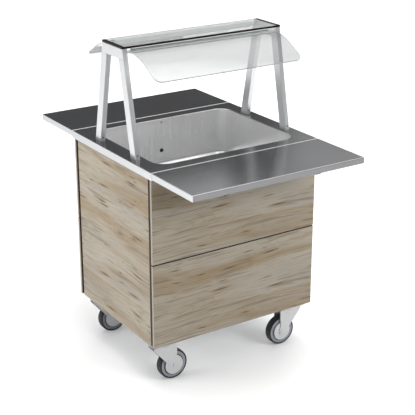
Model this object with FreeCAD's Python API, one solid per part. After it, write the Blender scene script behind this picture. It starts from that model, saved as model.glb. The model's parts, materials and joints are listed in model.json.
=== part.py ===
import FreeCAD, Part
import math
import os

# Food service trolley: a panelled carcass on four swivel casters, a worktop with one
# sunken food well, a folding shelf on each long side and a sneeze guard over the well.
# Millimetres. Origin on the floor under the centre, +Z up, +X along the panelled long
# side, -Y towards the guests. The shelves are modelled raised.

Vector = FreeCAD.Vector

# ---- driving dimensions ----
TOP_HEIGHT = 900.0          # worktop surface above the floor
TOP_LENGTH = 765.0          # worktop along X
TOP_DEPTH = 625.0           # fixed part of the worktop along Y
APRON = 30.0                # height of the folded edge of the worktop
SHEET = 2.0                 # worktop sheet
EDGE_ROLL = 1.6             # rounding on the long upper edges

WELL_LENGTH = 630.0         # two full-size food pans side by side
WELL_WIDTH = 510.0
WELL_DEPTH = 200.0
WELL_CORNER = 55.0
WELL_FLOOR_ROLL = 20.0
WELL_WALL = 1.5
WELL_RIM = 3.0              # rolled rim between worktop and well

PANEL = 16.0                # thickness of the wood panels
PANEL_FACE_X = 377.5        # outer face of the side panels
PANEL_FACE_Y = 305.0        # outer face of the front and rear panels
SIDE_PANEL_HALF = 278.0     # half width of a side panel
FRONT_PANEL_HALF = 378.5    # half width of a front or rear panel
PANEL_FOOT = 181.5          # underside of the panels
PANEL_HEAD = 868.0          # top of the panels
SEAM_HEIGHT = 529.0         # middle of the joint between lower and upper panel
SEAM = 4.5

POST = 30.0                 # square corner posts and base tubes
TUBE_WALL = 2.0
POST_FACE_X = 361.0         # outer face of the posts
POST_FACE_Y = 288.5
BASE_FOOT = 176.0           # underside of the base tubes
RAIL = 15.0                 # thin cross rails at the top

SHELF_THICK = 24.0
SHELF_REACH = 592.0         # centre line to the outer edge of a raised shelf
SHELF_GAP = 1.5
SHELF_SKIN = 1.5
SHELF_RETURN = 22.0
HINGE_Y = 314.0             # fold axis of a shelf
HINGE_Z = 845.0
ARM_X = 205.0               # the two arms of a shelf stand at +/- this
ARM_WIDTH = 24.0
ARM_TIP_Y = 540.0
ARM_FOOT = 850.0
ARM_WALL = 2.0
BRACKET_HOLES = [785.0, 835.0]   # heights of the screws in a wall plate
BRACKET_HOLE_RADIUS = 3.05
BRACKET_SCREW_RADIUS = 3.0
PLATE_THICK = 2.5
PIN_RADIUS = 2.5
RUNNING = 0.05              # radial clearance of a turning fit

STAY_ARM = 150.0            # fold axis to the stay's pin, along the arm
STAY_RISE = 16.0            # that pin's height above the fold axis
STAY_FOOT_Y = 318.0         # lower pivot of the stay on the wall plate
STAY_FOOT_Z = 800.0
LOWER_LINK = 30.0
UPPER_LINK = 132.23
LINK_RADIUS = 5.0
LINK_THICK = 3.0

GUARD_X = 347.5             # middle of a guard frame
GUARD_TUBE_X = 20.0
GUARD_TUBE_Y = 40.0
GUARD_FOOT_Y = 138.0        # middle of a leg at the worktop
GUARD_TOP = 1305.0
GUARD_LEAN = 0.2            # inward lean of a leg per unit of height
CROSS_TUBE = 40.0
GLASS = 8.0
GLASS_HALF_X = 358.0
GLASS_HALF_Y = 78.0
GUARD_SCREW_Z = 16.0        # height of the clamping screws above the worktop
SPIGOT_RISE = 36.0          # how far a foot spigot reaches into its leg
SPIGOT_GAP = 0.1

PANE_AXIS_Y = 65.0          # turning axis of a curved pane
PANE_AXIS_Z = 1290.0
PANE_THICK = 5.0
PANE_HALF = 327.0
PANE_START_Y = 68.0
PANE_START_Z = 1298.5       # middle of the pane's thickness where it leaves its rail
PANE_LIP = 6.0              # flat edge held in the rail's groove
PANE_RADIUS = 254.0
PANE_TURN = 30.0
PANE_EDGE_Y = 272.0
PANE_CORNER = 28.0
RAIL_HALF = 313.0
PANE_PIN_RADIUS = 4.0
PANE_KNOB_RADIUS = 5.8

CASTER_X = 305.0            # swivel axes
CASTER_Y = 245.0
WHEEL_RADIUS = 62.5
WHEEL_HALF = 16.0
TRAIL = 40.0
PLATE_FOOT = 168.0          # underside of the caster's top plate
PLATE = 4.0
BOLT_SPACING_X = 80.0
BOLT_SPACING_Y = 60.0
FORK_FACE = 23.0            # swivel axis to the outer face of a fork leg
FORK_SHEET = 3.0
FORK_TOP = 161.5
FORK_HALF = 52.0
FORK_SHOULDER = 116.0       # the inner edge of a fork leg starts to narrow here
FORK_KNEE = 92.0            # and turns towards the axle here
AXLE_RADIUS = 5.0
KING_PIN_RADIUS = 8.0
GUARD_DISC = 40.0           # radius of the thread guard discs
HUB_HALF = 18.0
BRAKE_X = 60.0              # pivot of the brake pedal, from the swivel axis
BRAKE_Z = 134.0
BRAKE_PIN_RADIUS = 3.0

DRAIN_X = 55.0
DRAIN_Y = 219.0
DRAIN_RADIUS = 11.0
VALVE_TOP = 166.0
VALVE_AXIS_Z = VALVE_TOP - 19.0
VALVE_STEM_RADIUS = 5.0
OVERFLOW_DROP = 15.0        # overflow below the worktop
OVERFLOW_RADIUS = 3.0
SENSOR_RISE = 63.0          # level sensor above the well's floor
SENSOR_RADIUS = 5.0

# ---- places worked out from them ----
TOP_HALF_X = TOP_LENGTH / 2
TOP_HALF_Y = TOP_DEPTH / 2
SHELF_START = TOP_HALF_Y + SHELF_GAP
SHELF_FOOT = TOP_HEIGHT - SHELF_THICK
WELL_FLOOR = TOP_HEIGHT - WELL_DEPTH
BASE_TOP = BASE_FOOT + POST
POST_INNER_X = POST_FACE_X - POST
POST_INNER_Y = POST_FACE_Y - POST
FRAME_TOP = TOP_HEIGHT - SHEET
CASING_X = POST_INNER_X - 2.0
CASING_Y = POST_FACE_Y - RAIL - 1.5
CASING_FOOT = WELL_FLOOR - 30.0
OVERFLOW_Z = TOP_HEIGHT - OVERFLOW_DROP
SENSOR_Z = WELL_FLOOR + SENSOR_RISE
ALONG_X = Vector(1, 0, 0)
ALONG_Y = Vector(0, 1, 0)
ALONG_Z = Vector(0, 0, 1)
CORNERS = [("front_left", -1, -1), ("front_right", 1, -1), ("rear_left", -1, 1), ("rear_right", 1, 1)]
SIDES = [("front", -1), ("rear", 1)]


# ---- shape helpers ----
def box(x0, x1, y0, y1, z0, z1):
    return Part.makeBox(x1 - x0, y1 - y0, z1 - z0, Vector(x0, y0, z0))


def rod(radius, start, length, direction):
    return Part.makeCylinder(radius, length, Vector(*start), direction)


def upright_rounded_box(half_x, half_y, z0, z1, corner):
    """A box about the centre line with rounded upright edges."""
    body = box(-half_x, half_x, -half_y, half_y, z0, z1)
    upright = [edge for edge in body.Edges if abs(edge.tangentAt(edge.FirstParameter).z) > 0.9]
    return body.makeFillet(corner, upright)


def edges_at_height(shape, z):
    return [edge for edge in shape.Edges if all(abs(v.Z - z) < 1e-6 for v in edge.Vertexes)]


def prism(points, direction):
    """A closed flat outline of (x, y, z) points pushed along a vector."""
    outline = Part.makePolygon([Vector(*point) for point in points] + [Vector(*points[0])])
    return Part.Face(outline).extrude(direction)


def tube_x(x0, x1, y0, y1, z0, z1):
    """A rectangular tube along X, open at its ends."""
    hole = box(x0 - 1, x1 + 1, y0 + TUBE_WALL, y1 - TUBE_WALL, z0 + TUBE_WALL, z1 - TUBE_WALL)
    return box(x0, x1, y0, y1, z0, z1).cut(hole)


def tube_y(x0, x1, y0, y1, z0, z1):
    hole = box(x0 + TUBE_WALL, x1 - TUBE_WALL, y0 - 1, y1 + 1, z0 + TUBE_WALL, z1 - TUBE_WALL)
    return box(x0, x1, y0, y1, z0, z1).cut(hole)


def flip_x(shape):
    return shape.mirror(Vector(0, 0, 0), ALONG_X)


def flip_y(shape):
    return shape.mirror(Vector(0, 0, 0), ALONG_Y)


def at_side(shape, side_x, side_y):
    """Take a shape made in the +X +Y quarter to the quarter with these signs."""
    if side_x < 0:
        shape = flip_x(shape)
    if side_y < 0:
        shape = flip_y(shape)
    return shape


def all_quarters(shape):
    return [at_side(shape, side_x, side_y) for _, side_x, side_y in CORNERS]


def save(name, *shapes):
    shape = shapes[0] if len(shapes) == 1 else Part.makeCompound(list(shapes))
    shape.exportStep("parts/" + name + ".step")


# ---- carcass ----
def caster_bolt_places():
    """Bolt centres of the casters in the +X +Y quarter."""
    return [(CASTER_X + BOLT_SPACING_X / 2 * i, CASTER_Y + BOLT_SPACING_Y / 2 * j)
            for i in (-1, 1) for j in (-1, 1)]


def drill_caster_holes(shape):
    for x, y in caster_bolt_places():
        shape = shape.cut(rod(4.5, (x, y, PLATE_FOOT - 5), 20, ALONG_Z))
    return shape


def base_frame():
    """Four welded base tubes with a gusset plate over each caster."""
    half_long = tube_x(0, POST_FACE_X, POST_INNER_Y, POST_FACE_Y, BASE_FOOT, BASE_TOP)
    half_short = tube_y(POST_INNER_X, POST_FACE_X, 0, POST_INNER_Y, BASE_FOOT, BASE_TOP)
    gusset = box(CASTER_X - 55, POST_FACE_X, CASTER_Y - 45, POST_FACE_Y, BASE_FOOT - PLATE, BASE_FOOT)
    half_long = drill_caster_holes(half_long)
    half_short = drill_caster_holes(half_short)
    long_tube = half_long.fuse(flip_x(half_long)).removeSplitter()
    short_tube = half_short.fuse(flip_y(half_short)).removeSplitter()
    gussets = all_quarters(drill_caster_holes(gusset))
    save("base_frame", long_tube, flip_y(long_tube), short_tube, flip_x(short_tube), *gussets)


def corner_posts():
    post = box(POST_INNER_X, POST_FACE_X, POST_INNER_Y, POST_FACE_Y, BASE_TOP, FRAME_TOP)
    wall = TUBE_WALL
    bore = box(POST_INNER_X + wall, POST_FACE_X - wall, POST_INNER_Y + wall, POST_FACE_Y - wall,
               BASE_TOP - 1, FRAME_TOP + 1)
    save("corner_posts", *all_quarters(post.cut(bore)))


def top_rails():
    """Rails under the worktop, and the rails that the shelf brackets bolt to."""
    long_rail = tube_x(-POST_INNER_X, POST_INNER_X, POST_FACE_Y - RAIL, POST_FACE_Y, PANEL_HEAD, FRAME_TOP)
    bracket_rail = tube_x(-POST_INNER_X, POST_INNER_X, POST_FACE_Y - RAIL, POST_FACE_Y,
                          BRACKET_HOLES[0] - 10, BRACKET_HOLES[1] + 10)
    for x in (-ARM_X, ARM_X):
        for z in BRACKET_HOLES:
            hole = rod(BRACKET_HOLE_RADIUS, (x, POST_FACE_Y - RAIL - 1, z), RAIL + 2, ALONG_Y)
            bracket_rail = bracket_rail.cut(hole)
    short_rail = tube_y(POST_FACE_X - RAIL, POST_FACE_X, -POST_INNER_Y, POST_INNER_Y, PANEL_HEAD, FRAME_TOP)
    save("top_rails", long_rail, flip_y(long_rail), bracket_rail, flip_y(bracket_rail),
         short_rail, flip_x(short_rail))


def seam_profiles():
    """Dark strips behind the joint between the lower and the upper panels."""
    strip = box(-POST_INNER_X, POST_INNER_X, POST_FACE_Y - 4, POST_FACE_Y, SEAM_HEIGHT - 15, SEAM_HEIGHT + 15)
    save("seam_profiles", strip, flip_y(strip))


def floor_panel():
    """Sheet that closes the carcass between the base tubes."""
    sheet = box(-POST_INNER_X, POST_INNER_X, -POST_INNER_Y, POST_INNER_Y, BASE_TOP - SHEET, BASE_TOP)
    sheet = sheet.cut(rod(DRAIN_RADIUS + 0.5, (DRAIN_X, DRAIN_Y, BASE_TOP - 10), 20, ALONG_Z))
    save("floor_panel", sheet)


def panels():
    """Two panels on each long side and one sheet on each short side."""
    back = PANEL_FACE_Y - PANEL
    for side_name, side in SIDES:
        lower = box(-FRONT_PANEL_HALF, FRONT_PANEL_HALF, back, PANEL_FACE_Y, PANEL_FOOT, SEAM_HEIGHT - SEAM / 2)
        upper = box(-FRONT_PANEL_HALF, FRONT_PANEL_HALF, back, PANEL_FACE_Y, SEAM_HEIGHT + SEAM / 2, PANEL_HEAD)
        for x in (-ARM_X, ARM_X):
            for z in BRACKET_HOLES:
                upper = upper.cut(rod(BRACKET_HOLE_RADIUS, (x, back - 1, z), PANEL + 2, ALONG_Y))
        save(side_name + "_panel_lower", at_side(lower, 1, side))
        save(side_name + "_panel_upper", at_side(upper, 1, side))
    side_panel = box(PANEL_FACE_X - PANEL, PANEL_FACE_X, -SIDE_PANEL_HALF, SIDE_PANEL_HALF,
                     PANEL_FOOT, PANEL_HEAD)
    save("side_panel_right", side_panel)
    save("side_panel_left", flip_x(side_panel))


# ---- worktop and well ----
def main_top():
    """Worktop sheet with a folded edge all round and the cut-out for the well."""
    slab = box(-TOP_HALF_X, TOP_HALF_X, -TOP_HALF_Y, TOP_HALF_Y, TOP_HEIGHT - APRON, TOP_HEIGHT)
    slab = slab.makeFillet(EDGE_ROLL, edges_at_height(slab, TOP_HEIGHT))
    hollow = box(-TOP_HALF_X + SHEET, TOP_HALF_X - SHEET, -TOP_HALF_Y + SHEET, TOP_HALF_Y - SHEET,
                 TOP_HEIGHT - APRON - 1, TOP_HEIGHT - SHEET)
    cut_out = upright_rounded_box(WELL_LENGTH / 2 + WELL_RIM, WELL_WIDTH / 2 + WELL_RIM,
                                  TOP_HEIGHT - APRON, TOP_HEIGHT + 1, WELL_CORNER + WELL_RIM)
    save("main_top", slab.cut(hollow).cut(cut_out))


def well_solid(grow, floor, top):
    """The well's inner shape, grown outwards by a wall thickness."""
    tub = upright_rounded_box(WELL_LENGTH / 2 + grow, WELL_WIDTH / 2 + grow, floor, top, WELL_CORNER + grow)
    return tub.makeFillet(WELL_FLOOR_ROLL + grow, edges_at_height(tub, floor))


def well_basin():
    outside = well_solid(WELL_WALL, WELL_FLOOR - WELL_WALL, TOP_HEIGHT)
    rim = upright_rounded_box(WELL_LENGTH / 2 + WELL_RIM, WELL_WIDTH / 2 + WELL_RIM,
                              TOP_HEIGHT - WELL_RIM, TOP_HEIGHT, WELL_CORNER + WELL_RIM)
    inside = well_solid(0, WELL_FLOOR, TOP_HEIGHT + 40)
    basin = outside.fuse(rim).cut(inside)
    reach_x = WELL_LENGTH / 2 + 0.1
    reach_y = WELL_WIDTH / 2 + 0.1
    mouth = [edge for edge in edges_at_height(basin, TOP_HEIGHT)
             if all(abs(v.X) < reach_x and abs(v.Y) < reach_y for v in edge.Vertexes)]
    basin = basin.makeFillet(WELL_RIM - 0.4, mouth)
    basin = basin.cut(rod(DRAIN_RADIUS + RUNNING, (DRAIN_X, DRAIN_Y, WELL_FLOOR - 5), 10, ALONG_Z))
    for z, radius in ((OVERFLOW_Z, OVERFLOW_RADIUS), (SENSOR_Z, SENSOR_RADIUS)):
        basin = basin.cut(rod(radius, (0, WELL_WIDTH / 2 - 3, z), 10, ALONG_Y))
    save("well_basin", basin)


def well_insulation():
    block = box(-CASING_X + 1, CASING_X - 1, -CASING_Y + 1, CASING_Y - 1, CASING_FOOT + 1, PANEL_HEAD)
    core = well_solid(WELL_WALL, WELL_FLOOR - WELL_WALL, TOP_HEIGHT)
    block = block.cut(core).cut(rod(DRAIN_RADIUS + 0.5, (DRAIN_X, DRAIN_Y, CASING_FOOT - 5), 40, ALONG_Z))
    block = block.cut(rod(9.0, (0, WELL_WIDTH / 2, SENSOR_Z), 40, ALONG_Y))
    save("well_insulation", block)


def well_casing():
    """Sheet box round the insulation, open at the top."""
    shell = box(-CASING_X, CASING_X, -CASING_Y, CASING_Y, CASING_FOOT, PANEL_HEAD)
    inside = box(-CASING_X + 1, CASING_X - 1, -CASING_Y + 1, CASING_Y - 1, CASING_FOOT + 1, PANEL_HEAD + 1)
    shell = shell.cut(inside).cut(rod(DRAIN_RADIUS + 0.5, (DRAIN_X, DRAIN_Y, CASING_FOOT - 5), 10, ALONG_Z))
    save("well_casing", shell)


def drain():
    """Strainer in the well's floor, pipe down through the base, and the valve under it."""
    flange = rod(14.0, (DRAIN_X, DRAIN_Y, WELL_FLOOR), 1.2, ALONG_Z)
    neck = rod(DRAIN_RADIUS, (DRAIN_X, DRAIN_Y, WELL_FLOOR - 6), 6, ALONG_Z)
    strainer = flange.fuse(neck)
    for step in range(6):
        angle = math.radians(60 * step)
        hole = (DRAIN_X + 6.5 * math.cos(angle), DRAIN_Y + 6.5 * math.sin(angle), WELL_FLOOR - 10)
        strainer = strainer.cut(rod(1.6, hole, 20, ALONG_Z))
    strainer = strainer.cut(rod(2.2, (DRAIN_X, DRAIN_Y, WELL_FLOOR - 10), 20, ALONG_Z))
    save("drain_strainer", strainer)
    pipe = rod(DRAIN_RADIUS, (DRAIN_X, DRAIN_Y, VALVE_TOP), WELL_FLOOR - 6 - VALVE_TOP, ALONG_Z)
    bore = rod(DRAIN_RADIUS - TUBE_WALL, (DRAIN_X, DRAIN_Y, VALVE_TOP - 1), WELL_FLOOR - VALVE_TOP, ALONG_Z)
    save("drain_pipe", pipe.cut(bore))
    valve = rod(17.0, (DRAIN_X, DRAIN_Y, VALVE_TOP - 38), 38, ALONG_Z)
    outlet = rod(DRAIN_RADIUS, (DRAIN_X, DRAIN_Y, VALVE_TOP - 52), 14, ALONG_Z)
    stem = rod(VALVE_STEM_RADIUS, (DRAIN_X, DRAIN_Y, VALVE_AXIS_Z), 27, ALONG_Y)
    bore = rod(DRAIN_RADIUS - 3, (DRAIN_X, DRAIN_Y, VALVE_TOP - 53), 15, ALONG_Z)
    save("drain_valve", valve.fuse(outlet).fuse(stem).cut(bore))


def drain_lever():
    y0 = DRAIN_Y + 19.0
    hub = rod(8.0, (DRAIN_X, y0, VALVE_AXIS_Z), 6, ALONG_Y)
    blade = box(DRAIN_X, DRAIN_X + 62, y0 + 1, y0 + 4, VALVE_AXIS_Z - 6, VALVE_AXIS_Z + 6)
    tip = rod(6.0, (DRAIN_X + 62, y0 + 1, VALVE_AXIS_Z), 3, ALONG_Y)
    bore = rod(VALVE_STEM_RADIUS + RUNNING, (DRAIN_X, y0 - 1, VALVE_AXIS_Z), 10, ALONG_Y)
    save("drain_lever", hub.fuse(blade).fuse(tip).cut(bore))


def well_fittings():
    """Overflow and level sensor in the well's rear wall."""
    wall = WELL_WIDTH / 2
    overflow = rod(OVERFLOW_RADIUS - RUNNING, (0, wall - 0.8, OVERFLOW_Z), 9, ALONG_Y)
    overflow = overflow.cut(rod(1.8, (0, wall - 2, OVERFLOW_Z), 8, ALONG_Y))
    collar = rod(SENSOR_RADIUS + 3, (0, wall - 1.5, SENSOR_Z), 1.5, ALONG_Y)
    body = rod(SENSOR_RADIUS - RUNNING, (0, wall - 2.5, SENSOR_Z), 16, ALONG_Y)
    save("well_fittings", overflow, collar.fuse(body))


# ---- folding shelves ----
def shelf():
    """A raised shelf on the rear side: a folded pan with its edges turned in underneath."""
    slab = box(-TOP_HALF_X, TOP_HALF_X, SHELF_START, SHELF_REACH, SHELF_FOOT, TOP_HEIGHT)
    slab = slab.makeFillet(EDGE_ROLL, edges_at_height(slab, TOP_HEIGHT))
    skin = SHELF_SKIN
    hollow = box(-TOP_HALF_X + skin, TOP_HALF_X - skin, SHELF_START + skin, SHELF_REACH - skin,
                 SHELF_FOOT + skin, TOP_HEIGHT - skin)
    mouth = box(-TOP_HALF_X + SHELF_RETURN, TOP_HALF_X - SHELF_RETURN, SHELF_START + SHELF_RETURN,
                SHELF_REACH - SHELF_RETURN, SHELF_FOOT - 1, SHELF_FOOT + 5)
    return slab.cut(hollow.fuse(mouth))


def shelf_arm(x):
    """Channel under the shelf, open downwards, with the pin of the stay."""
    half = ARM_WIDTH / 2
    side = [(HINGE_Y - 4, HINGE_Z - 5), (HINGE_Y + 6, HINGE_Z - 5), (HINGE_Y + 20, ARM_FOOT),
            (ARM_TIP_Y, ARM_FOOT), (ARM_TIP_Y, SHELF_FOOT), (HINGE_Y + 1, SHELF_FOOT),
            (HINGE_Y + 1, HINGE_Z + 18), (HINGE_Y - 4, HINGE_Z + 12)]
    block = prism([(x - half, y, z) for y, z in side], Vector(ARM_WIDTH, 0, 0))
    inner = half - ARM_WALL
    hollow = box(x - inner, x + inner, HINGE_Y - 20, ARM_TIP_Y - ARM_WALL, HINGE_Z - 20, SHELF_FOOT - ARM_WALL)
    arm = block.cut(hollow)
    arm = arm.cut(rod(PIN_RADIUS + RUNNING, (x - half - 1, HINGE_Y, HINGE_Z), ARM_WIDTH + 2, ALONG_X))
    pin = rod(PIN_RADIUS, (x - inner, HINGE_Y + STAY_ARM, HINGE_Z + STAY_RISE), 2 * inner, ALONG_X)
    return arm.fuse(pin)


def wall_plate(x):
    """Bracket on the upper panel with lugs for the arm and for the stay."""
    face = PANEL_FACE_Y
    plate = box(x - 20, x + 20, face, face + PLATE_THICK, BRACKET_HOLES[0] - 15, PANEL_HEAD)
    for z in BRACKET_HOLES:
        plate = plate.cut(rod(BRACKET_HOLE_RADIUS, (x, face - 1, z), 5, ALONG_Y))
    for offset in (-8, 5):
        for y, z in ((HINGE_Y, HINGE_Z), (STAY_FOOT_Y, STAY_FOOT_Z)):
            lug = box(x + offset, x + offset + 3, face + 2, y, z - 5.5, z + 5.5)
            lug = lug.fuse(rod(5.5, (x + offset, y, z), 3, ALONG_X))
            plate = plate.fuse(lug)
        plate = plate.cut(rod(PIN_RADIUS, (x + offset - 1, HINGE_Y, HINGE_Z), 5, ALONG_X))
    return plate.fuse(rod(PIN_RADIUS, (x - 8, STAY_FOOT_Y, STAY_FOOT_Z), 16, ALONG_X))


def stay_knee():
    """Where the two links of a stay meet with the shelf raised."""
    top_y = HINGE_Y + STAY_ARM
    top_z = HINGE_Z + STAY_RISE
    span = math.hypot(top_y - STAY_FOOT_Y, top_z - STAY_FOOT_Z)
    lean = math.atan2(top_z - STAY_FOOT_Z, top_y - STAY_FOOT_Y)
    cosine = (LOWER_LINK ** 2 + span ** 2 - UPPER_LINK ** 2) / (2 * LOWER_LINK * span)
    angle = lean + math.acos(cosine)
    return STAY_FOOT_Y + LOWER_LINK * math.cos(angle), STAY_FOOT_Z + LOWER_LINK * math.sin(angle)


def link(x0, start, end):
    """Flat bar with round ends between two (y, z) points."""
    length = math.hypot(end[0] - start[0], end[1] - start[1])
    bar = box(x0, x0 + LINK_THICK, 0, length, -LINK_RADIUS, LINK_RADIUS)
    bar = bar.fuse(rod(LINK_RADIUS, (x0, 0, 0), LINK_THICK, ALONG_X))
    bar = bar.fuse(rod(LINK_RADIUS, (x0, length, 0), LINK_THICK, ALONG_X))
    bar.rotate(Vector(0, 0, 0), ALONG_X, math.degrees(math.atan2(end[1] - start[1], end[0] - start[0])))
    bar.translate(Vector(0, start[0], start[1]))
    return bar.cut(rod(PIN_RADIUS + RUNNING, (x0 - 1, start[0], start[1]), LINK_THICK + 2, ALONG_X))


def shelf_sets():
    """Both shelves with their arms and stays. The rear set is mirrored to the front."""
    knee = stay_knee()
    arm_pin = (HINGE_Y + STAY_ARM, HINGE_Z + STAY_RISE)
    foot_pin = (STAY_FOOT_Y, STAY_FOOT_Z)
    half = ARM_WIDTH / 2
    for side_name, side in SIDES:
        arms = [at_side(shelf_arm(x), 1, side) for x in (-ARM_X, ARM_X)]
        uppers = []
        lowers = []
        for x in (-ARM_X, ARM_X):
            knee_rivet = rod(4.0, (x + 0.5 + LINK_THICK, knee[0], knee[1]), 1.5, ALONG_X)
            uppers.append(at_side(link(x + 0.5, arm_pin, knee).fuse(knee_rivet), 1, side))
            lowers.append(at_side(link(x - 0.5 - LINK_THICK, foot_pin, knee), 1, side))
        save(side_name + "_shelf", at_side(shelf(), 1, side))
        save(side_name + "_shelf_arms", *arms)
        save(side_name + "_upper_links", *uppers)
        save(side_name + "_lower_links", *lowers)
    plates = [wall_plate(x) for x in (-ARM_X, ARM_X)]
    save("shelf_wall_plates", *plates, *[flip_y(plate) for plate in plates])
    pins = [rod(PIN_RADIUS, (x - half, HINGE_Y, HINGE_Z), ARM_WIDTH, ALONG_X) for x in (-ARM_X, ARM_X)]
    save("shelf_hinge_pins", *pins, *[flip_y(pin) for pin in pins])


def bracket_screws():
    """Screws through wall plate, panel and rail."""
    screws = []
    for x in (-ARM_X, ARM_X):
        for z in BRACKET_HOLES:
            head = rod(5.0, (x, PANEL_FACE_Y + PLATE_THICK, z), 1.8, ALONG_Y)
            tip_y = POST_FACE_Y - RAIL - 1
            shank = rod(BRACKET_SCREW_RADIUS, (x, tip_y, z), PANEL_FACE_Y + PLATE_THICK - tip_y, ALONG_Y)
            screws.append(head.fuse(shank))
    save("bracket_screws", *screws, *[flip_y(screw) for screw in screws])


# ---- sneeze guard ----
def leg_outline(inset, z0, z1):
    """Side view of the leaning leg on the +Y side."""
    half = GUARD_TUBE_Y / 2 - inset
    middle = [GUARD_FOOT_Y - GUARD_LEAN * (z - TOP_HEIGHT) for z in (z0, z1)]
    return [(middle[0] - half, z0), (middle[0] + half, z0), (middle[1] + half, z1), (middle[1] - half, z1)]


def leg():
    x0 = GUARD_X - GUARD_TUBE_X / 2
    z1 = GUARD_TOP - CROSS_TUBE
    outside = prism([(x0, y, z) for y, z in leg_outline(0, TOP_HEIGHT, z1)], Vector(GUARD_TUBE_X, 0, 0))
    bore = prism([(x0 + TUBE_WALL, y, z) for y, z in leg_outline(TUBE_WALL, TOP_HEIGHT - 1, z1 + 1)],
                 Vector(GUARD_TUBE_X - 2 * TUBE_WALL, 0, 0))
    return outside.cut(bore)


def cross_tube():
    """Short tube across the top of the two legs, with closed slanting ends."""
    z0 = GUARD_TOP - CROSS_TUBE
    x0 = GUARD_X - GUARD_TUBE_X / 2
    reach = [GUARD_FOOT_Y - GUARD_LEAN * (z - TOP_HEIGHT) + GUARD_TUBE_Y / 2 for z in (z0, GUARD_TOP)]
    outline = [(x0, -reach[0], z0), (x0, reach[0], z0), (x0, reach[1], GUARD_TOP), (x0, -reach[1], GUARD_TOP)]
    tube = prism(outline, Vector(GUARD_TUBE_X, 0, 0))
    bore = box(x0 + TUBE_WALL, x0 + GUARD_TUBE_X - TUBE_WALL, -reach[1] + 3, reach[1] - 3,
               z0 - 1, GUARD_TOP - TUBE_WALL)
    tube = tube.cut(bore)
    for y in (-PANE_AXIS_Y, PANE_AXIS_Y):
        tube = tube.cut(rod(PANE_PIN_RADIUS + RUNNING, (x0 - 1, y, PANE_AXIS_Z), 5, ALONG_X))
    return tube


def guard_frames():
    screw_y = GUARD_FOOT_Y - GUARD_LEAN * GUARD_SCREW_Z
    x0 = GUARD_X - GUARD_TUBE_X / 2
    rear_leg = leg()
    front_leg = flip_y(rear_leg)
    rear_leg = rear_leg.cut(rod(2.5, (GUARD_X, screw_y - 25, TOP_HEIGHT + GUARD_SCREW_Z), 25, ALONG_Y))
    front_leg = front_leg.cut(rod(2.5, (GUARD_X, -screw_y - 25, TOP_HEIGHT + GUARD_SCREW_Z), 25, ALONG_Y))
    cross = cross_tube()
    save("guard_frame_right", front_leg, rear_leg, cross)
    save("guard_frame_left", flip_x(front_leg), flip_x(rear_leg), flip_x(cross))
    spigots = []
    screws = []
    for middle, lean in ((GUARD_FOOT_Y, -GUARD_LEAN), (-GUARD_FOOT_Y, GUARD_LEAN)):
        half = GUARD_TUBE_Y / 2 - TUBE_WALL - SPIGOT_GAP
        head = middle + lean * SPIGOT_RISE
        top = TOP_HEIGHT + SPIGOT_RISE
        outline = [(middle - half, TOP_HEIGHT), (middle + half, TOP_HEIGHT), (head + half, top), (head - half, top)]
        spigot = prism([(x0 + TUBE_WALL + SPIGOT_GAP, y, z) for y, z in outline],
                       Vector(GUARD_TUBE_X - 2 * (TUBE_WALL + SPIGOT_GAP), 0, 0))
        face = middle + lean * GUARD_SCREW_Z - GUARD_TUBE_Y / 2
        hole = (GUARD_X, face - 1, TOP_HEIGHT + GUARD_SCREW_Z)
        spigots.append(spigot.cut(rod(2.5, hole, 14, ALONG_Y)))
        screws.append(rod(2.5, (GUARD_X, face - 0.6, TOP_HEIGHT + GUARD_SCREW_Z), 13, ALONG_Y))
    save("guard_spigots", *spigots, *[flip_x(item) for item in spigots])
    save("guard_screws", *screws, *[flip_x(item) for item in screws])


def glass_shelf():
    plate = box(-GLASS_HALF_X, GLASS_HALF_X, -GLASS_HALF_Y, GLASS_HALF_Y, GUARD_TOP, GUARD_TOP + GLASS)
    save("glass_shelf", plate.makeChamfer(0.8, edges_at_height(plate, GUARD_TOP + GLASS)))


def pane_section(z_offset):
    """Side view of one face of the pane: a flat lip, an arc and a straight tail."""
    turn = math.radians(PANE_TURN)
    radius = PANE_RADIUS + z_offset
    centre_z = PANE_START_Z - PANE_RADIUS
    lip = Vector(0, PANE_START_Y - PANE_LIP, PANE_START_Z + z_offset)
    start = Vector(0, PANE_START_Y, PANE_START_Z + z_offset)
    middle = Vector(0, PANE_START_Y + radius * math.sin(turn / 2), centre_z + radius * math.cos(turn / 2))
    end = Vector(0, PANE_START_Y + radius * math.sin(turn), centre_z + radius * math.cos(turn))
    tail = (PANE_EDGE_Y - PANE_START_Y - PANE_RADIUS * math.sin(turn)) / math.cos(turn)
    edge = end + Vector(0, tail * math.cos(turn), -tail * math.sin(turn))
    return lip, start, middle, end, edge


def pane():
    """Curved clear pane on the rear side with rounded lower corners."""
    top = pane_section(PANE_THICK / 2)
    low = pane_section(-PANE_THICK / 2)
    wire = Part.Wire([
        Part.LineSegment(top[0], top[1]).toShape(),
        Part.Arc(top[1], top[2], top[3]).toShape(),
        Part.LineSegment(top[3], top[4]).toShape(),
        Part.LineSegment(top[4], low[4]).toShape(),
        Part.LineSegment(low[4], low[3]).toShape(),
        Part.Arc(low[3], low[2], low[1]).toShape(),
        Part.LineSegment(low[1], low[0]).toShape(),
        Part.LineSegment(low[0], top[0]).toShape(),
    ])
    sheet = Part.Face(wire).extrude(Vector(2 * PANE_HALF, 0, 0))
    sheet.translate(Vector(-PANE_HALF, 0, 0))
    outline = upright_rounded_box(PANE_HALF, PANE_EDGE_Y + 4, PANE_AXIS_Z - 120, PANE_AXIS_Z + 30, PANE_CORNER)
    return sheet.common(outline)


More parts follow.
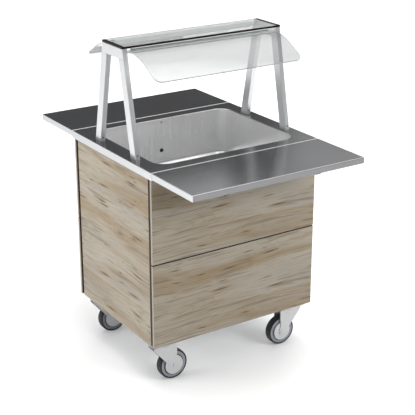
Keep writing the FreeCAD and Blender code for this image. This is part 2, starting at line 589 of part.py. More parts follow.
def pane_rail():
    """Grooved bar that grips the pane, with a pivot pin and a clamping knob at each end."""
    bar = box(-RAIL_HALF, RAIL_HALF, PANE_AXIS_Y - 8, PANE_AXIS_Y + 8, PANE_AXIS_Z - 9, PANE_AXIS_Z + 13)
    long_edges = [edge for edge in bar.Edges if abs(edge.tangentAt(edge.FirstParameter).x) > 0.9]
    bar = bar.makeFillet(4.0, long_edges)
    groove = box(-RAIL_HALF - 1, RAIL_HALF + 1, PANE_START_Y - PANE_LIP, PANE_AXIS_Y + 12,
                 PANE_START_Z - PANE_THICK / 2 - 0.1, PANE_START_Z + PANE_THICK / 2)
    bar = bar.cut(groove)
    pin_end = GUARD_X - GUARD_TUBE_X / 2 + 3.5
    for end in (-1, 1):
        direction = Vector(end, 0, 0)
        pin = rod(PANE_PIN_RADIUS, (end * RAIL_HALF, PANE_AXIS_Y, PANE_AXIS_Z), pin_end - RAIL_HALF, direction)
        knob = rod(PANE_KNOB_RADIUS, (end * (RAIL_HALF + 6), PANE_AXIS_Y, PANE_AXIS_Z), 12, direction)
        bar = bar.fuse(pin).fuse(knob)
    return bar


def panes():
    for side_name, side in SIDES:
        save(side_name + "_pane", at_side(pane(), 1, side))
        save(side_name + "_pane_rail", at_side(pane_rail(), 1, side))


# ---- casters ----
def tangent_point(point, centre, radius, turn):
    """Where a line from a point touches a circle; turn is +1 or -1 for the two sides."""
    dx = centre[0] - point[0]
    dz = centre[1] - point[1]
    distance = math.hypot(dx, dz)
    angle = math.atan2(dz, dx) + turn * math.asin(radius / distance)
    reach = math.sqrt(distance ** 2 - radius ** 2)
    return point[0] + reach * math.cos(angle), point[1] + reach * math.sin(angle)


def fork_leg(y, with_brake):
    """One side of the fork: wide at the crown, slanting to a round end about the axle."""
    axle = (TRAIL, WHEEL_RADIUS)
    tip = 15.0
    crown_low = (-FORK_HALF + 1, WHEEL_RADIUS + 84)
    knee = (FORK_HALF - 5, FORK_KNEE)
    slant = tangent_point(crown_low, axle, tip, -1)
    inner = tangent_point(knee, axle, tip, 1)
    bottom = (axle[0], axle[1] - tip)
    crown = [(FORK_HALF, FORK_SHOULDER), (FORK_HALF, FORK_TOP)]
    if with_brake:
        crown = [(FORK_HALF, FORK_SHOULDER), (BRAKE_X + 8, BRAKE_Z - 8), (BRAKE_X + 8, FORK_TOP)]
    path = [(-FORK_HALF + 1, FORK_TOP), crown_low, slant]
    edges = [Part.LineSegment(Vector(a[0], y, a[1]), Vector(b[0], y, b[1])).toShape()
             for a, b in zip(path, path[1:])]
    edges.append(Part.Arc(Vector(slant[0], y, slant[1]), Vector(bottom[0], y, bottom[1]),
                          Vector(inner[0], y, inner[1])).toShape())
    path = [inner, knee] + crown + [(-FORK_HALF + 1, FORK_TOP)]
    edges += [Part.LineSegment(Vector(a[0], y, a[1]), Vector(b[0], y, b[1])).toShape()
              for a, b in zip(path, path[1:])]
    return Part.Face(Part.Wire(edges)).extrude(Vector(0, FORK_SHEET, 0))


def fork(with_brake):
    """Caster fork about its swivel axis at x = y = 0, trailing towards +X."""
    legs = fork_leg(FORK_FACE - FORK_SHEET, with_brake).fuse(fork_leg(-FORK_FACE, with_brake))
    crown = box(-FORK_HALF + 1, FORK_HALF, -FORK_FACE, FORK_FACE, FORK_TOP - 4, FORK_TOP)
    race = rod(33.0, (0, 0, FORK_TOP - 6), 6, ALONG_Z)
    body = legs.fuse(crown).fuse(race)
    body = body.cut(rod(KING_PIN_RADIUS + RUNNING, (0, 0, FORK_TOP - 10), 20, ALONG_Z))
    body = body.cut(rod(AXLE_RADIUS, (TRAIL, -30, WHEEL_RADIUS), 60, ALONG_Y))
    if with_brake:
        body = body.cut(rod(BRAKE_PIN_RADIUS + RUNNING, (BRAKE_X, -30, BRAKE_Z), 60, ALONG_Y))
    return body.removeSplitter()


def axle():
    """Axle bolt with head and nut, and the two thread guard discs beside the wheel."""
    bolt = rod(AXLE_RADIUS, (TRAIL, -FORK_FACE, WHEEL_RADIUS), 2 * FORK_FACE + 7, ALONG_Y)
    head = rod(8.0, (TRAIL, -FORK_FACE - 3, WHEEL_RADIUS), 3, ALONG_Y)
    disc = rod(GUARD_DISC, (TRAIL, HUB_HALF + 0.3, WHEEL_RADIUS), 1.4, ALONG_Y)
    disc = disc.cut(rod(AXLE_RADIUS, (TRAIL, 0, WHEEL_RADIUS), 40, ALONG_Y))
    other = flip_y(disc)
    nut = rod(8.0, (TRAIL, FORK_FACE, WHEEL_RADIUS), 6, ALONG_Y)
    nut = nut.cut(rod(AXLE_RADIUS, (TRAIL, 0, WHEEL_RADIUS), 60, ALONG_Y))
    return [bolt.fuse(head), nut, disc, other]


def wheel():
    """Plastic wheel centre with a groove round the thread guards and a longer hub."""
    rim = rod(WHEEL_RADIUS - 7, (TRAIL, -WHEEL_HALF + 1, WHEEL_RADIUS), 2 * WHEEL_HALF - 2, ALONG_Y)
    for y in (-WHEEL_HALF, WHEEL_HALF - 3):
        groove = rod(GUARD_DISC + 3, (TRAIL, y, WHEEL_RADIUS), 3, ALONG_Y)
        rim = rim.cut(groove)
    hub = rod(13.0, (TRAIL, -HUB_HALF, WHEEL_RADIUS), 2 * HUB_HALF, ALONG_Y)
    return rim.fuse(hub).cut(rod(AXLE_RADIUS + RUNNING, (TRAIL, -30, WHEEL_RADIUS), 60, ALONG_Y))


def tyre():
    ring = rod(WHEEL_RADIUS, (TRAIL, -WHEEL_HALF, WHEEL_RADIUS), 2 * WHEEL_HALF, ALONG_Y)
    ring = ring.makeFillet(4.5, [edge for edge in ring.Edges if edge.Closed and len(edge.Vertexes) == 1])
    return ring.cut(rod(WHEEL_RADIUS - 7, (TRAIL, -30, WHEEL_RADIUS), 60, ALONG_Y))


def brake_pedal():
    """Pedal between the fork legs with a shoe over the tyre, and its pivot pin."""
    tongue = [(BRAKE_X - 6, BRAKE_Z + 5), (BRAKE_X - 6, BRAKE_Z - 5), (BRAKE_X + 8, BRAKE_Z - 13),
              (BRAKE_X + 16, BRAKE_Z - 13), (BRAKE_X + 22, BRAKE_Z - 5), (BRAKE_X + 62, BRAKE_Z - 5),
              (BRAKE_X + 66, BRAKE_Z), (BRAKE_X + 62, BRAKE_Z + 1), (BRAKE_X + 14, BRAKE_Z + 1),
              (BRAKE_X + 6, BRAKE_Z + 5)]
    plate = prism([(x, -18, z) for x, z in tongue], Vector(0, 36, 0))
    pin = rod(BRAKE_PIN_RADIUS, (BRAKE_X, -FORK_FACE - 1, BRAKE_Z), 2 * FORK_FACE + 2, ALONG_Y)
    return plate.fuse(pin)


def caster_plate():
    """Top plate with the fixed half of the ball race, the king pin and its nut."""
    plate = box(-52.5, 52.5, -42.5, 42.5, PLATE_FOOT, PLATE_FOOT + PLATE)
    for x, y in caster_bolt_places():
        plate = plate.cut(rod(4.5, (x - CASTER_X, y - CASTER_Y, PLATE_FOOT - 1), 10, ALONG_Z))
    race = Part.makeCone(30.0, 34.0, PLATE_FOOT - FORK_TOP - 0.5, Vector(0, 0, FORK_TOP + 0.5), ALONG_Z)
    king_pin = rod(KING_PIN_RADIUS, (0, 0, FORK_TOP - 14), 16, ALONG_Z)
    nut = rod(12.0, (0, 0, FORK_TOP - 14), 7.5, ALONG_Z)
    return plate.fuse(race).fuse(king_pin).fuse(nut)


def caster_bolt(x, y):
    shank = rod(4.0, (x, y, PLATE_FOOT - 5), 13, ALONG_Z)
    head = rod(6.5, (x, y, PLATE_FOOT - 5.3), 5.3, ALONG_Z)
    return head.fuse(shank)


def casters():
    """Each caster trails towards the middle of the trolley."""
    plate = caster_plate()
    plate.translate(Vector(CASTER_X, CASTER_Y, 0))
    save("caster_plates", *all_quarters(plate))
    bolts = []
    for x, y in caster_bolt_places():
        bolts += all_quarters(caster_bolt(x, y))
    save("caster_bolts", *bolts)
    for name, side_x, side_y in CORNERS:
        with_brake = side_y > 0
        pieces = {"fork": [fork(with_brake)], "axle": axle(), "wheel": [wheel()], "tyre": [tyre()]}
        if with_brake:
            pieces["brake_pedal"] = [brake_pedal()]
        for kind, shapes in pieces.items():
            placed = []
            for shape in shapes:
                shape = flip_x(shape) if side_x > 0 else shape.copy()
                shape.translate(Vector(side_x * CASTER_X, side_y * CASTER_Y, 0))
                placed.append(shape)
            save(kind + "_" + name, *placed)


def build():
    os.makedirs("parts", exist_ok=True)
    base_frame()
    corner_posts()
    top_rails()
    seam_profiles()
    floor_panel()
    panels()
    main_top()
    well_basin()
    well_insulation()
    well_casing()
    drain()
    drain_lever()
    well_fittings()
    shelf_sets()
    bracket_screws()
    guard_frames()
    glass_shelf()
    panes()
    casters()


build()
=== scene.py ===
import json
import math
from bisect import bisect

import bmesh
import bpy
from bpy.props import FloatProperty, FloatVectorProperty, PointerProperty
from mathutils import Matrix, Vector


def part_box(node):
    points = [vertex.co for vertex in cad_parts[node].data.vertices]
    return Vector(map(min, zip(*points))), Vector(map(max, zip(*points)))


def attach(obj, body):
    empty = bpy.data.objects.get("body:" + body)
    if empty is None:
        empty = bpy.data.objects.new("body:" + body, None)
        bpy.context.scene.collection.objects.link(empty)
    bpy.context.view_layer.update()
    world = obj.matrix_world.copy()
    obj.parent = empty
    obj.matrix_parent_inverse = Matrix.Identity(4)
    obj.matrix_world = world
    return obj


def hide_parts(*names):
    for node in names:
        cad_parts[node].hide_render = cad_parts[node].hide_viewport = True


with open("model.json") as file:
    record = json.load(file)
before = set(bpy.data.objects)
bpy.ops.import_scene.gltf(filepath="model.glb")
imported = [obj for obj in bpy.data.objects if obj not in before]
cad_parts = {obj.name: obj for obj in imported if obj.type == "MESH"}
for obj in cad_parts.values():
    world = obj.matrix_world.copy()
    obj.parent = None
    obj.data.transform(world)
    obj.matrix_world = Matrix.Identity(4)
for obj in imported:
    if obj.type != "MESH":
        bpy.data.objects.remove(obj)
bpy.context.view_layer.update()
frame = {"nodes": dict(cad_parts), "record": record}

NODES = frame["nodes"]
NODE_BODY = {node: body for body, nodes in frame["record"]["behaviour"]["bodies"].items() for node in nodes}
CORNERS = ("front_left", "front_right", "rear_left", "rear_right")
SIDES = (("front", -1), ("rear", 1))
MM = 0.001

# Distance within which two places count as one
NEAR = 1e-5

# Size of a face normal's part along an axis, above which a face is square to that axis, and below
# which it runs along it
SQUARE_ON = 0.99
EDGE_ON = 0.1

# Decor boards: inset of the backing, painted near black as shade in the gaps by the boards, upward part
# of the normal from which an edge face gets that painted shade, darkening the seams, shift of the decor on
# the end boards: its start and its step from board to board
SHADE_BACKING_INSET = 0.0012
SHADE_EDGE_SLOPE = 0.6
DECOR_START = 0.4
DECOR_STEP = 0.3

# Curved pane: (distance from the middle, height) where its arc starts, flat lip before that, radius
# and angle of the arc, thickness of the sheet, rounding of its free corners
PANE_START = (0.068, 1.2960)
PANE_LIP = 0.006
PANE_RADIUS = 0.2515
PANE_TURN = math.radians(30.0)
PANE_THICK = 0.005
PANE_CORNER = 0.028

# Glass shelf: width of the strips of painted shade along each end and along its front edge, ground edge
END_SHADE_STRIP = 0.012
FRONT_SHADE_STRIP = 0.002
GLASS_EDGE = 0.0008

# Folding shelf: rim turned in underneath, thickness of the sheet, and what counts as its outer edge,
# which is painted darker as shade: how near a face lies to it and how squarely it faces outwards
SHELF_RETURN = 0.022
SHELF_SKIN = 0.0015
SHADED_EDGE_REACH = 0.0002
SHADED_EDGE_FACING = 0.95

# Worktop: thickness of the sheet, half size and corner radius of the well, and rim round the well
TOP_SHEET = 0.002
WELL_HALF = (0.315, 0.255)
WELL_CORNER = 0.055
WELL_RIM = 0.003

# Guard frames: inward lean of a leg per unit of height, height of the cross tube, depth of a leg
GUARD_LEAN = 0.2
CROSS_TUBE = 0.040
LEG_DEPTH = 0.040

# Casters: swivel axis (X, Y) from the middle, trail of the axle towards the middle along X, and height
# of the axle
SWIVEL = (0.305, 0.245)
TRAIL = 0.040
AXLE_Z = 0.0625

# Caster fork, with the swivel axis at X = 0: height of its top, radius of the leg tips, thickness of
# the legs and the Y value that each leg starts at
FORK_TOP = 0.1615
FORK_TIP = 0.015
FORK_SHEET = 0.003
FORK_LEGS = (-0.023, 0.020)

# Outline of a leg: X of its back, then corners (X, Z) or heights; a fork with a brake reaches further
FORK_BACK = -0.051
FORK_SHOULDER = 0.1465
FORK_KNEE = (0.047, 0.092)
FORK_CHIN = (0.052, 0.116)
BRAKE_CHIN = (0.068, 0.126)

# Crown of the fork: thickness and rounding of its plate, lower and upper radius and height of the race
FORK_CROWN = 0.004
FORK_FOLD = 0.003
RACE_RADII = (0.031, 0.033)
RACE_HEIGHT = 0.006

# Half outlines of tyre and wheel: (radius, distance from the middle plane), and the outer radius of
# the wheel's disc and of the groove round it, which is painted dark as shade
TYRE_HALF = [(0.0555, 0.0150), (0.0570, 0.0160), (0.0590, 0.0160), (0.0606, 0.0148), (0.0617, 0.0125),
             (0.0623, 0.0090)]
TYRE_CROWN = (0.0625, 0.0)
WHEEL_HALF = [(0.0052, 0.0180), (0.0122, 0.0180), (0.0130, 0.0172), (0.0130, 0.0120), (0.0400, 0.0120),
              (0.0430, 0.0125), (0.0440, 0.0148), (0.0455, 0.0152), (0.0540, 0.0146), (0.0556, 0.0138)]
WHEEL_ZONES = (0.0395, 0.0435)
WHEEL_STEPS = 72

# Cracks of the oak decor, long and short: shift of the pattern, cells per metre along and across the
# grain, half length and half width of a crack and of the tan halo round it, share of empty cells
OAK_CRACKS = (
    ((0.0, 0.0, 0.0), (4.4, 13.0), (0.056, 0.0046), (0.090, 0.011), 0.62),
    ((5.3, 1.7, 2.9), (9.0, 21.0), (0.030, 0.0028), (0.045, 0.006), 0.76),
)
OAK_LINE = (0.33, 0.25, 0.16)

# Scratch patterns: how often they change per metre along X, Y and Z
SCRATCH_X = (2.5, 700.0, 700.0)
COARSE_SCRATCH_X = (2.5, 420.0, 420.0)
SCRATCH_Z = (500.0, 500.0, 6.0)
FINE_SCRATCH_Z = (600.0, 600.0, 5.0)
COARSE_SCRATCH_Z = (280.0, 280.0, 5.0)

# Soft boxes: name, place, size in metres, power in watts
LIGHTS = (
    ("front", (2.0, -4.0, 2.7), (2.4, 1.2), 96.0),
    ("left", (-4.1, 1.3, 1.7), (2.8, 1.8), 92.0),
    ("fill", (3.2, 3.2, 1.7), (3.0, 1.6), 55.0),
    ("top", (0.2, -0.2, 4.2), (3.2, 3.2), 90.0),
    ("rear", (3.0, 2.0, 2.5), (1.8, 1.2), 3.2),
)
LIGHT_AIM = (0.0, 0.0, 0.6)
MIRRORED_LIGHT = "rear"
CAMERA_PLACE = (-2.320, -3.651, 2.254)
SENSOR_WIDTH = 36.0

# Floor: half its size, its grey when seen and when it lights the trolley, and its glow: distance from
# the middle where the glow starts to rise and where it is full, and its strength at the two
FLOOR_HALF = 30.0
FLOOR_SEEN = (0.80, 0.80, 0.80)
FLOOR_BOUNCE = (0.27, 0.27, 0.27)
FLOOR_GLOW = (1.5, 8.0, 0.14, 0.42)

# Surroundings: the low belt, the sky above it and overhead, and the heights at which they change
BELT = (0.105, 0.105, 0.108)
SKY = (1.1, 1.1, 1.1)
OVERHEAD = (2.4, 2.4, 2.4)
BELT_TOP = 0.55
SKY_FOOT = 0.80
BACKDROP = (1.0, 1.0, 1.0)

bl_info = {
    "name": "Food service trolley",
    "version": (1, 0, 0),
    "blender": (4, 5, 0),
    "location": "3D View > Sidebar > Trolley",
    "description": "Dresses the trolley's frame with finished pieces and materials",
    "category": "Object",
}


# ---------------------------------------------------------------- settings
def colour_setting(name, description, default):
    return FloatVectorProperty(name=name, description=description, default=default, size=3,
                               min=0.0, max=1.0, subtype="COLOR")


def length_setting(name, description, millimetres):
    return FloatProperty(name=name, description=description, default=millimetres * MM,
                         min=0.0, subtype="DISTANCE", unit="LENGTH")


class WoodSettings(bpy.types.PropertyGroup):
    light: colour_setting("Light wood", "Colour of the pale grey-beige ground", (0.53, 0.475, 0.385))
    tan: colour_setting("Tan wood", "Colour of the warm bands", (0.37, 0.265, 0.145))
    grey: colour_setting("Grey wood", "Colour of the cool clouds", (0.37, 0.345, 0.305))
    dark: colour_setting("Cracks", "Colour of cracks and knots", (0.085, 0.048, 0.024))
    band: colour_setting("Edge band", "Colour of the strip on the board edges", (0.52, 0.46, 0.38))
    edge_radius: length_setting("Edge radius", "Rounding of the board edges", 0.8)
    face_depth: length_setting("Face depth", "Thickness of the layer with the light edge band", 11.0)


class SteelSettings(bpy.types.PropertyGroup):
    top: colour_setting("Worktop", "Colour of the worktop sheet", (0.42, 0.425, 0.43))
    # Lighter copy of the worktop steel on the upright folds: painted light
    fold: colour_setting("Fold", "Colour of the folded edges", (0.56, 0.57, 0.58))
    # Darker copy of the worktop steel on a shelf's outer edge: painted shade
    edge: colour_setting("Shelf edge", "Colour of the outer edge of a shelf", (0.24, 0.24, 0.245))
    # Near-white roll: partly its polish, with low roughness, partly a painted highlight in its raised colour
    roll: colour_setting("Rolled edge", "Colour of the roll between top and fold", (0.95, 0.95, 0.95))
    basin: colour_setting("Well", "Colour of the drawn well", (0.97, 0.97, 0.97))
    tube: colour_setting("Guard tube", "Colour of the guard's tubes", (0.72, 0.73, 0.74))
    zinc: colour_setting("Zinc", "Colour of the plated caster parts", (0.78, 0.785, 0.79))
    tube_radius: length_setting("Tube corner", "Rounding of the guard's tubes", 1.8)
    fold_radius: length_setting("Fold", "Rounding of the folded worktop edges", 2.6)


class ClearSettings(bpy.types.PropertyGroup):
    pane: colour_setting("Pane", "Tint of the curved panes", (0.64, 0.65, 0.65))
    glass: colour_setting("Glass", "Tint of the glass shelf", (0.96, 0.975, 0.97))
    # Near-black strips on the glass shelf: painted shade where its clear edges look dark
    edge: colour_setting("Glass edge", "Colour of the glass shelf's painted shade strips", (0.004, 0.004, 0.004))
    # Light opaque rim of the panes: a painted highlight for the glint along their clear edges
    rim: colour_setting("Pane rim, painted glint", "Colour of the rim of a pane, a painted highlight", (0.62, 0.64, 0.64))


class CasterSettings(bpy.types.PropertyGroup):
    tread: colour_setting("Tread", "Colour of the tyre", (0.014, 0.014, 0.017))
    ring: colour_setting("Wheel ring", "Colour of the outer ring of the moulded wheel", (0.40, 0.41, 0.47))
    disc: colour_setting("Wheel disc", "Colour of the disc and hub of the moulded wheel", (0.62, 0.63, 0.64))


class StageSettings(bpy.types.PropertyGroup):
    lens: FloatProperty(name="Lens", description="Focal length in millimetres", default=98.3, min=10.0)
    azimuth: FloatProperty(name="Azimuth", description="Side that the camera stands on",
                           default=math.radians(-33.15), subtype="ANGLE", unit="ROTATION")
    elevation: FloatProperty(name="Elevation", description="Height of the camera above the horizon",
                             default=math.radians(21.08), subtype="ANGLE", unit="ROTATION")


SETTINGS = {
    "trolley_wood": WoodSettings,
    "trolley_steel": SteelSettings,
    "trolley_clear": ClearSettings,
    "trolley_caster": CasterSettings,
    "trolley_stage": StageSettings,
}


# ---------------------------------------------------------------- node helpers
class Graph:
    """Adds nodes to a tree and links or sets their inputs in one call."""

    def __init__(self, tree):
        self.tree = tree

    def add(self, kind, inputs=None, **settings):
        node = self.tree.nodes.new(kind)
        for key, value in settings.items():
            setattr(node, key, value)
        for key, value in (inputs or {}).items():
            if isinstance(value, bpy.types.NodeSocket):
                self.link(value, node.inputs[key])
            else:
                node.inputs[key].default_value = value
        return node

    def link(self, source, target):
        self.tree.links.new(source, target)

    def math(self, operation, first, second=0.0, third=0.0, clamp=False):
        node = self.add("ShaderNodeMath", {0: first, 1: second, 2: third}, operation=operation,
                        use_clamp=clamp)
        return node.outputs[0]

    def vector(self, operation, first, second):
        node = self.add("ShaderNodeVectorMath", {0: first, 1: second}, operation=operation)
        return node.outputs[0]

    def length(self, vector):
        return self.add("ShaderNodeVectorMath", {0: vector}, operation="LENGTH").outputs["Value"]

    def noise(self, vector, scale, detail=2.0, roughness=0.5, distortion=0.0):
        node = self.add("ShaderNodeTexNoise", {"Vector": vector, "Scale": scale, "Detail": detail,
                                               "Roughness": roughness, "Distortion": distortion})
        return node.outputs["Fac"]

    def stretch(self, vector, scale, shift=(0.0, 0.0, 0.0)):
        return self.add("ShaderNodeMapping", {"Vector": vector, "Scale": scale, "Location": shift}).outputs[0]

    def range(self, value, low, high, out_low=0.0, out_high=1.0):
        node = self.add("ShaderNodeMapRange", {"Value": value, "From Min": low, "From Max": high,
                                               "To Min": out_low, "To Max": out_high},
                        interpolation_type="SMOOTHSTEP")
        return node.outputs[0]

    def mix(self, factor, first, second, blend="MIX"):
        node = self.add("ShaderNodeMix", data_type="RGBA", blend_type=blend)
        for index, value in ((0, factor), (6, first), (7, second)):
            if isinstance(value, bpy.types.NodeSocket):
                self.link(value, node.inputs[index])
            else:
                node.inputs[index].default_value = value if index == 0 else (*value[:3], 1.0)
        return node.outputs[2]


def new_group(name, inputs, outputs):
    """An empty shader group with named sockets; inputs and outputs are (name, kind, default)."""
    tree = bpy.data.node_groups.new(name, "ShaderNodeTree")
    for label, kind, default in inputs:
        socket = tree.interface.new_socket(name=label, in_out="INPUT", socket_type=kind)
        if default is not None:
            socket.default_value = default
    for label, kind in outputs:
        tree.interface.new_socket(name=label, in_out="OUTPUT", socket_type=kind)
    graph = Graph(tree)
    source = graph.add("NodeGroupInput")
    sink = graph.add("NodeGroupOutput")
    return tree, graph, source.outputs, sink.inputs


def brushed_group():
    """Fine parallel scratches with cloudy patches, for rolled and brushed sheet."""
    name = "Brushed sheet"
    if name in bpy.data.node_groups:
        return bpy.data.node_groups[name]
    tree, g, given, out = new_group(
        name,
        [("Vector", "NodeSocketVector", None), ("Scratch Scale", "NodeSocketVector", (3.0, 900.0, 900.0)),
         ("Base", "NodeSocketColor", (0.5, 0.5, 0.5, 1.0)), ("Low", "NodeSocketFloat", 0.25),
         ("High", "NodeSocketFloat", 0.40), ("Tone", "NodeSocketFloat", 0.10)],
        [("Color", "NodeSocketColor"), ("Roughness", "NodeSocketFloat"), ("Height", "NodeSocketFloat")])
    scaled = g.vector("MULTIPLY", given["Vector"], given["Scratch Scale"])
    fine = g.noise(scaled, 1.0, 3.0, 0.65)
    cloud = g.noise(given["Vector"], 5.5, 2.0, 0.55)
    both = g.math("MULTIPLY_ADD", fine, 0.65, g.math("MULTIPLY", cloud, 0.35))
    spread = g.range(both, 0.25, 0.75)
    rough = g.add("ShaderNodeMapRange", {"Value": spread, "To Min": given["Low"], "To Max": given["High"]})
    tone = g.math("MULTIPLY_ADD", g.math("SUBTRACT", both, 0.5), given["Tone"], 1.0)
    shade = g.add("ShaderNodeVectorMath", {0: given["Base"], 3: tone}, operation="SCALE")
    g.link(shade.outputs[0], out["Color"])
    g.link(rough.outputs[0], out["Roughness"])
    g.link(fine, out["Height"])
    return tree


def oak_group():
    """Printed oak decor with the grain along X: pale ground, warm bands, growth lines, cracks and knots."""
    name = "Oak decor"
    if name in bpy.data.node_groups:
        return bpy.data.node_groups[name]
    tree, g, given, out = new_group(
        name,
        [("Vector", "NodeSocketVector", None), ("Light", "NodeSocketColor", None),
         ("Tan", "NodeSocketColor", None), ("Grey", "NodeSocketColor", None),
         ("Dark", "NodeSocketColor", None)],
        [("Color", "NodeSocketColor"), ("Roughness", "NodeSocketFloat"), ("Height", "NodeSocketFloat")])
    vector = given["Vector"]
    slow = g.stretch(vector, (1.6, 4.0, 4.0))
    drift = g.add("ShaderNodeTexNoise", {"Vector": slow, "Scale": 1.0, "Detail": 2.0})
    push = g.vector("SUBTRACT", drift.outputs["Color"], (0.5, 0.5, 0.5))
    bent = g.vector("ADD", vector, g.vector("MULTIPLY", push, (0.0, 0.07, 0.07)))
    bands = g.noise(g.stretch(bent, (0.9, 13.0, 13.0)), 1.0, 4.0, 0.6)
    clouds = g.noise(g.stretch(bent, (1.8, 8.0, 8.0), (3.0, 1.0, 4.0)), 1.0, 3.0, 0.55)
    colour = g.mix(g.range(bands, 0.44, 0.66, 0.0, 0.80), given["Light"], given["Tan"])
    colour = g.mix(g.range(clouds, 0.48, 0.68, 0.0, 0.50), colour, given["Grey"])
    growth = g.noise(g.stretch(bent, (1.3, 7.0, 7.0), (7.0, 2.0, 5.0)), 1.0, 1.0, 0.4)
    rings = g.math("PINGPONG", g.math("MULTIPLY", growth, 26.0), 0.5)
    where = g.range(g.noise(g.stretch(vector, (3.0, 9.0, 9.0), (2.0, 6.0, 1.0)), 1.0, 1.0), 0.42, 0.60)
    ring_mask = g.math("MULTIPLY", g.range(rings, 0.30, 0.48, 0.0, 0.26), where)
    colour = g.mix(ring_mask, colour, given["Tan"])
    long_lines = g.noise(g.stretch(bent, (2.2, 95.0, 95.0)), 1.0, 2.0, 0.55)
    fine_lines = g.noise(g.stretch(bent, (7.0, 250.0, 250.0)), 1.0, 3.0, 0.65)
    line_mask = g.range(long_lines, 0.55, 0.66, 0.0, 0.50)
    fine_mask = g.range(fine_lines, 0.51, 0.66, 0.0, 0.42)
    colour = g.mix(line_mask, colour, [0.62 * value for value in OAK_LINE])
    colour = g.mix(fine_mask, colour, [0.75 * value for value in OAK_LINE])
    crack_mask = None
    for shift, (along, across), crack, halo, empty in OAK_CRACKS:
        placed = g.stretch(bent, (along, across, across), shift)
        cells = g.add("ShaderNodeTexVoronoi", {"Vector": placed, "Scale": 1.0, "Randomness": 0.9},
                      voronoi_dimensions="3D", feature="F1")
        offset = g.vector("SUBTRACT", placed, cells.outputs["Position"])
        ragged = g.math("MULTIPLY", g.noise(g.stretch(bent, (70.0, 330.0, 330.0)), 1.0, 3.0, 0.7), 0.75)
        chance = g.add("ShaderNodeSeparateColor", {"Color": cells.outputs["Color"]}).outputs[0]
        chosen = g.range(chance, empty, empty + 0.02)
        for (length, width), colour_name, strength in ((halo, "Tan", 0.70), (crack, "Dark", 0.85)):
            shrink = (1.0 / (along * length), 0.0, 1.0 / (across * width))
            reach = g.math("ADD", g.length(g.vector("MULTIPLY", offset, shrink)), ragged)
            mask = g.math("MULTIPLY", g.range(reach, 0.55, 1.30, strength, 0.0), chosen)
            colour = g.mix(mask, colour, given[colour_name])
        crack_mask = mask if crack_mask is None else g.math("ADD", crack_mask, mask)
    lines = g.math("ADD", g.math("MULTIPLY", fine_mask, 1.2), crack_mask)
    depth = g.math("SUBTRACT", 1.0, lines, clamp=True)
    g.link(colour, out["Color"])
    g.link(g.range(fine_lines, 0.2, 0.8, 0.48, 0.62), out["Roughness"])
    g.link(depth, out["Height"])
    return tree


def new_material(name):
    material = bpy.data.materials.new(name)
    material.use_nodes = True
    material.node_tree.nodes.clear()
    graph = Graph(material.node_tree)
    shader = graph.add("ShaderNodeBsdfPrincipled")
    output = graph.add("ShaderNodeOutputMaterial")
    graph.link(shader.outputs[0], output.inputs["Surface"])
    return material, graph, shader


def link_bump(graph, shader, height, strength, distance):
    bump = graph.add("ShaderNodeBump", {"Height": height, "Strength": strength, "Distance": distance})
    graph.link(bump.outputs[0], shader.inputs["Normal"])


def brushed_metal(name, base, scratch, low, high, tone=0.10, bump=0.06, metallic=1.0):
    """Metal with scratches; scratch is the pattern's scale along X, Y and Z."""
    material, g, shader = new_material(name)
    place = g.add("ShaderNodeTexCoord").outputs["Object"]
    group = g.add("ShaderNodeGroup", node_tree=brushed_group())
    for key, value in (("Scratch Scale", scratch), ("Base", (*base, 1.0)), ("Low", low), ("High", high),
                       ("Tone", tone)):
        group.inputs[key].default_value = value
    g.link(place, group.inputs["Vector"])
    g.link(group.outputs["Color"], shader.inputs["Base Color"])
    g.link(group.outputs["Roughness"], shader.inputs["Roughness"])
    shader.inputs["Metallic"].default_value = metallic
    link_bump(g, shader, group.outputs["Height"], bump, 0.0003)
    return material


def oak_board(name, settings, turn, shift):
    """Oak decor with the grain along X after the turn about Z."""
    material, g, shader = new_material(name)
    place = g.add("ShaderNodeTexCoord").outputs["Object"]
    turned = g.add("ShaderNodeMapping", {"Vector": place, "Rotation": (0.0, 0.0, turn), "Location": shift})
    group = g.add("ShaderNodeGroup", node_tree=oak_group())
    for key, colour in (("Light", settings.light), ("Tan", settings.tan), ("Grey", settings.grey),
                        ("Dark", settings.dark)):
        group.inputs[key].default_value = (*colour, 1.0)
    g.link(turned.outputs[0], group.inputs["Vector"])
    g.link(group.outputs["Color"], shader.inputs["Base Color"])
    g.link(group.outputs["Roughness"], shader.inputs["Roughness"])
    link_bump(g, shader, group.outputs["Height"], 0.25, 0.0004)
    return material


def speckled(name, base, roughness, grain=400.0, tone=0.12, metallic=0.0, bump=0.08, specular=0.5):
    """Moulded, painted or rubber surface with a fine grain and uneven tone."""
    material, g, shader = new_material(name)
    place = g.add("ShaderNodeTexCoord").outputs["Object"]
    fine = g.noise(place, grain, 3.0, 0.6)
    broad = g.noise(place, 14.0, 2.0, 0.5)
    mixed = g.math("MULTIPLY_ADD", fine, 0.5, g.math("MULTIPLY", broad, 0.5))
    shade = g.math("MULTIPLY_ADD", g.math("SUBTRACT", mixed, 0.5), tone * 2.0, 1.0)
    colour = g.add("ShaderNodeVectorMath", {0: base[:3], 3: shade}, operation="SCALE")
    g.link(colour.outputs[0], shader.inputs["Base Color"])
    g.link(g.range(mixed, 0.3, 0.7, roughness - 0.06, roughness + 0.08), shader.inputs["Roughness"])
    shader.inputs["Metallic"].default_value = metallic
    shader.inputs["Specular IOR Level"].default_value = specular
    link_bump(g, shader, fine, bump, 0.0004)
    return material


def clear_sheet(name, tint, roughness, ior):
    """Clear plastic or glass with faint wiping marks."""
    material, g, shader = new_material(name)
    place = g.add("ShaderNodeTexCoord").outputs["Object"]
    marks = g.noise(g.stretch(place, (6.0, 30.0, 30.0)), 1.0, 3.0, 0.6)
    colour = g.mix(g.range(marks, 0.45, 0.75), tint, [0.96 * value for value in tint])
    g.link(colour, shader.inputs["Base Color"])
    g.link(g.range(marks, 0.4, 0.8, roughness, roughness + 0.04), shader.inputs["Roughness"])
    shader.inputs["Transmission Weight"].default_value = 1.0
    shader.inputs["IOR"].default_value = ior
    return material


# ---------------------------------------------------------------- mesh helpers
def box_of(node):
    low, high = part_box(node)
    return Vector(low), Vector(high)


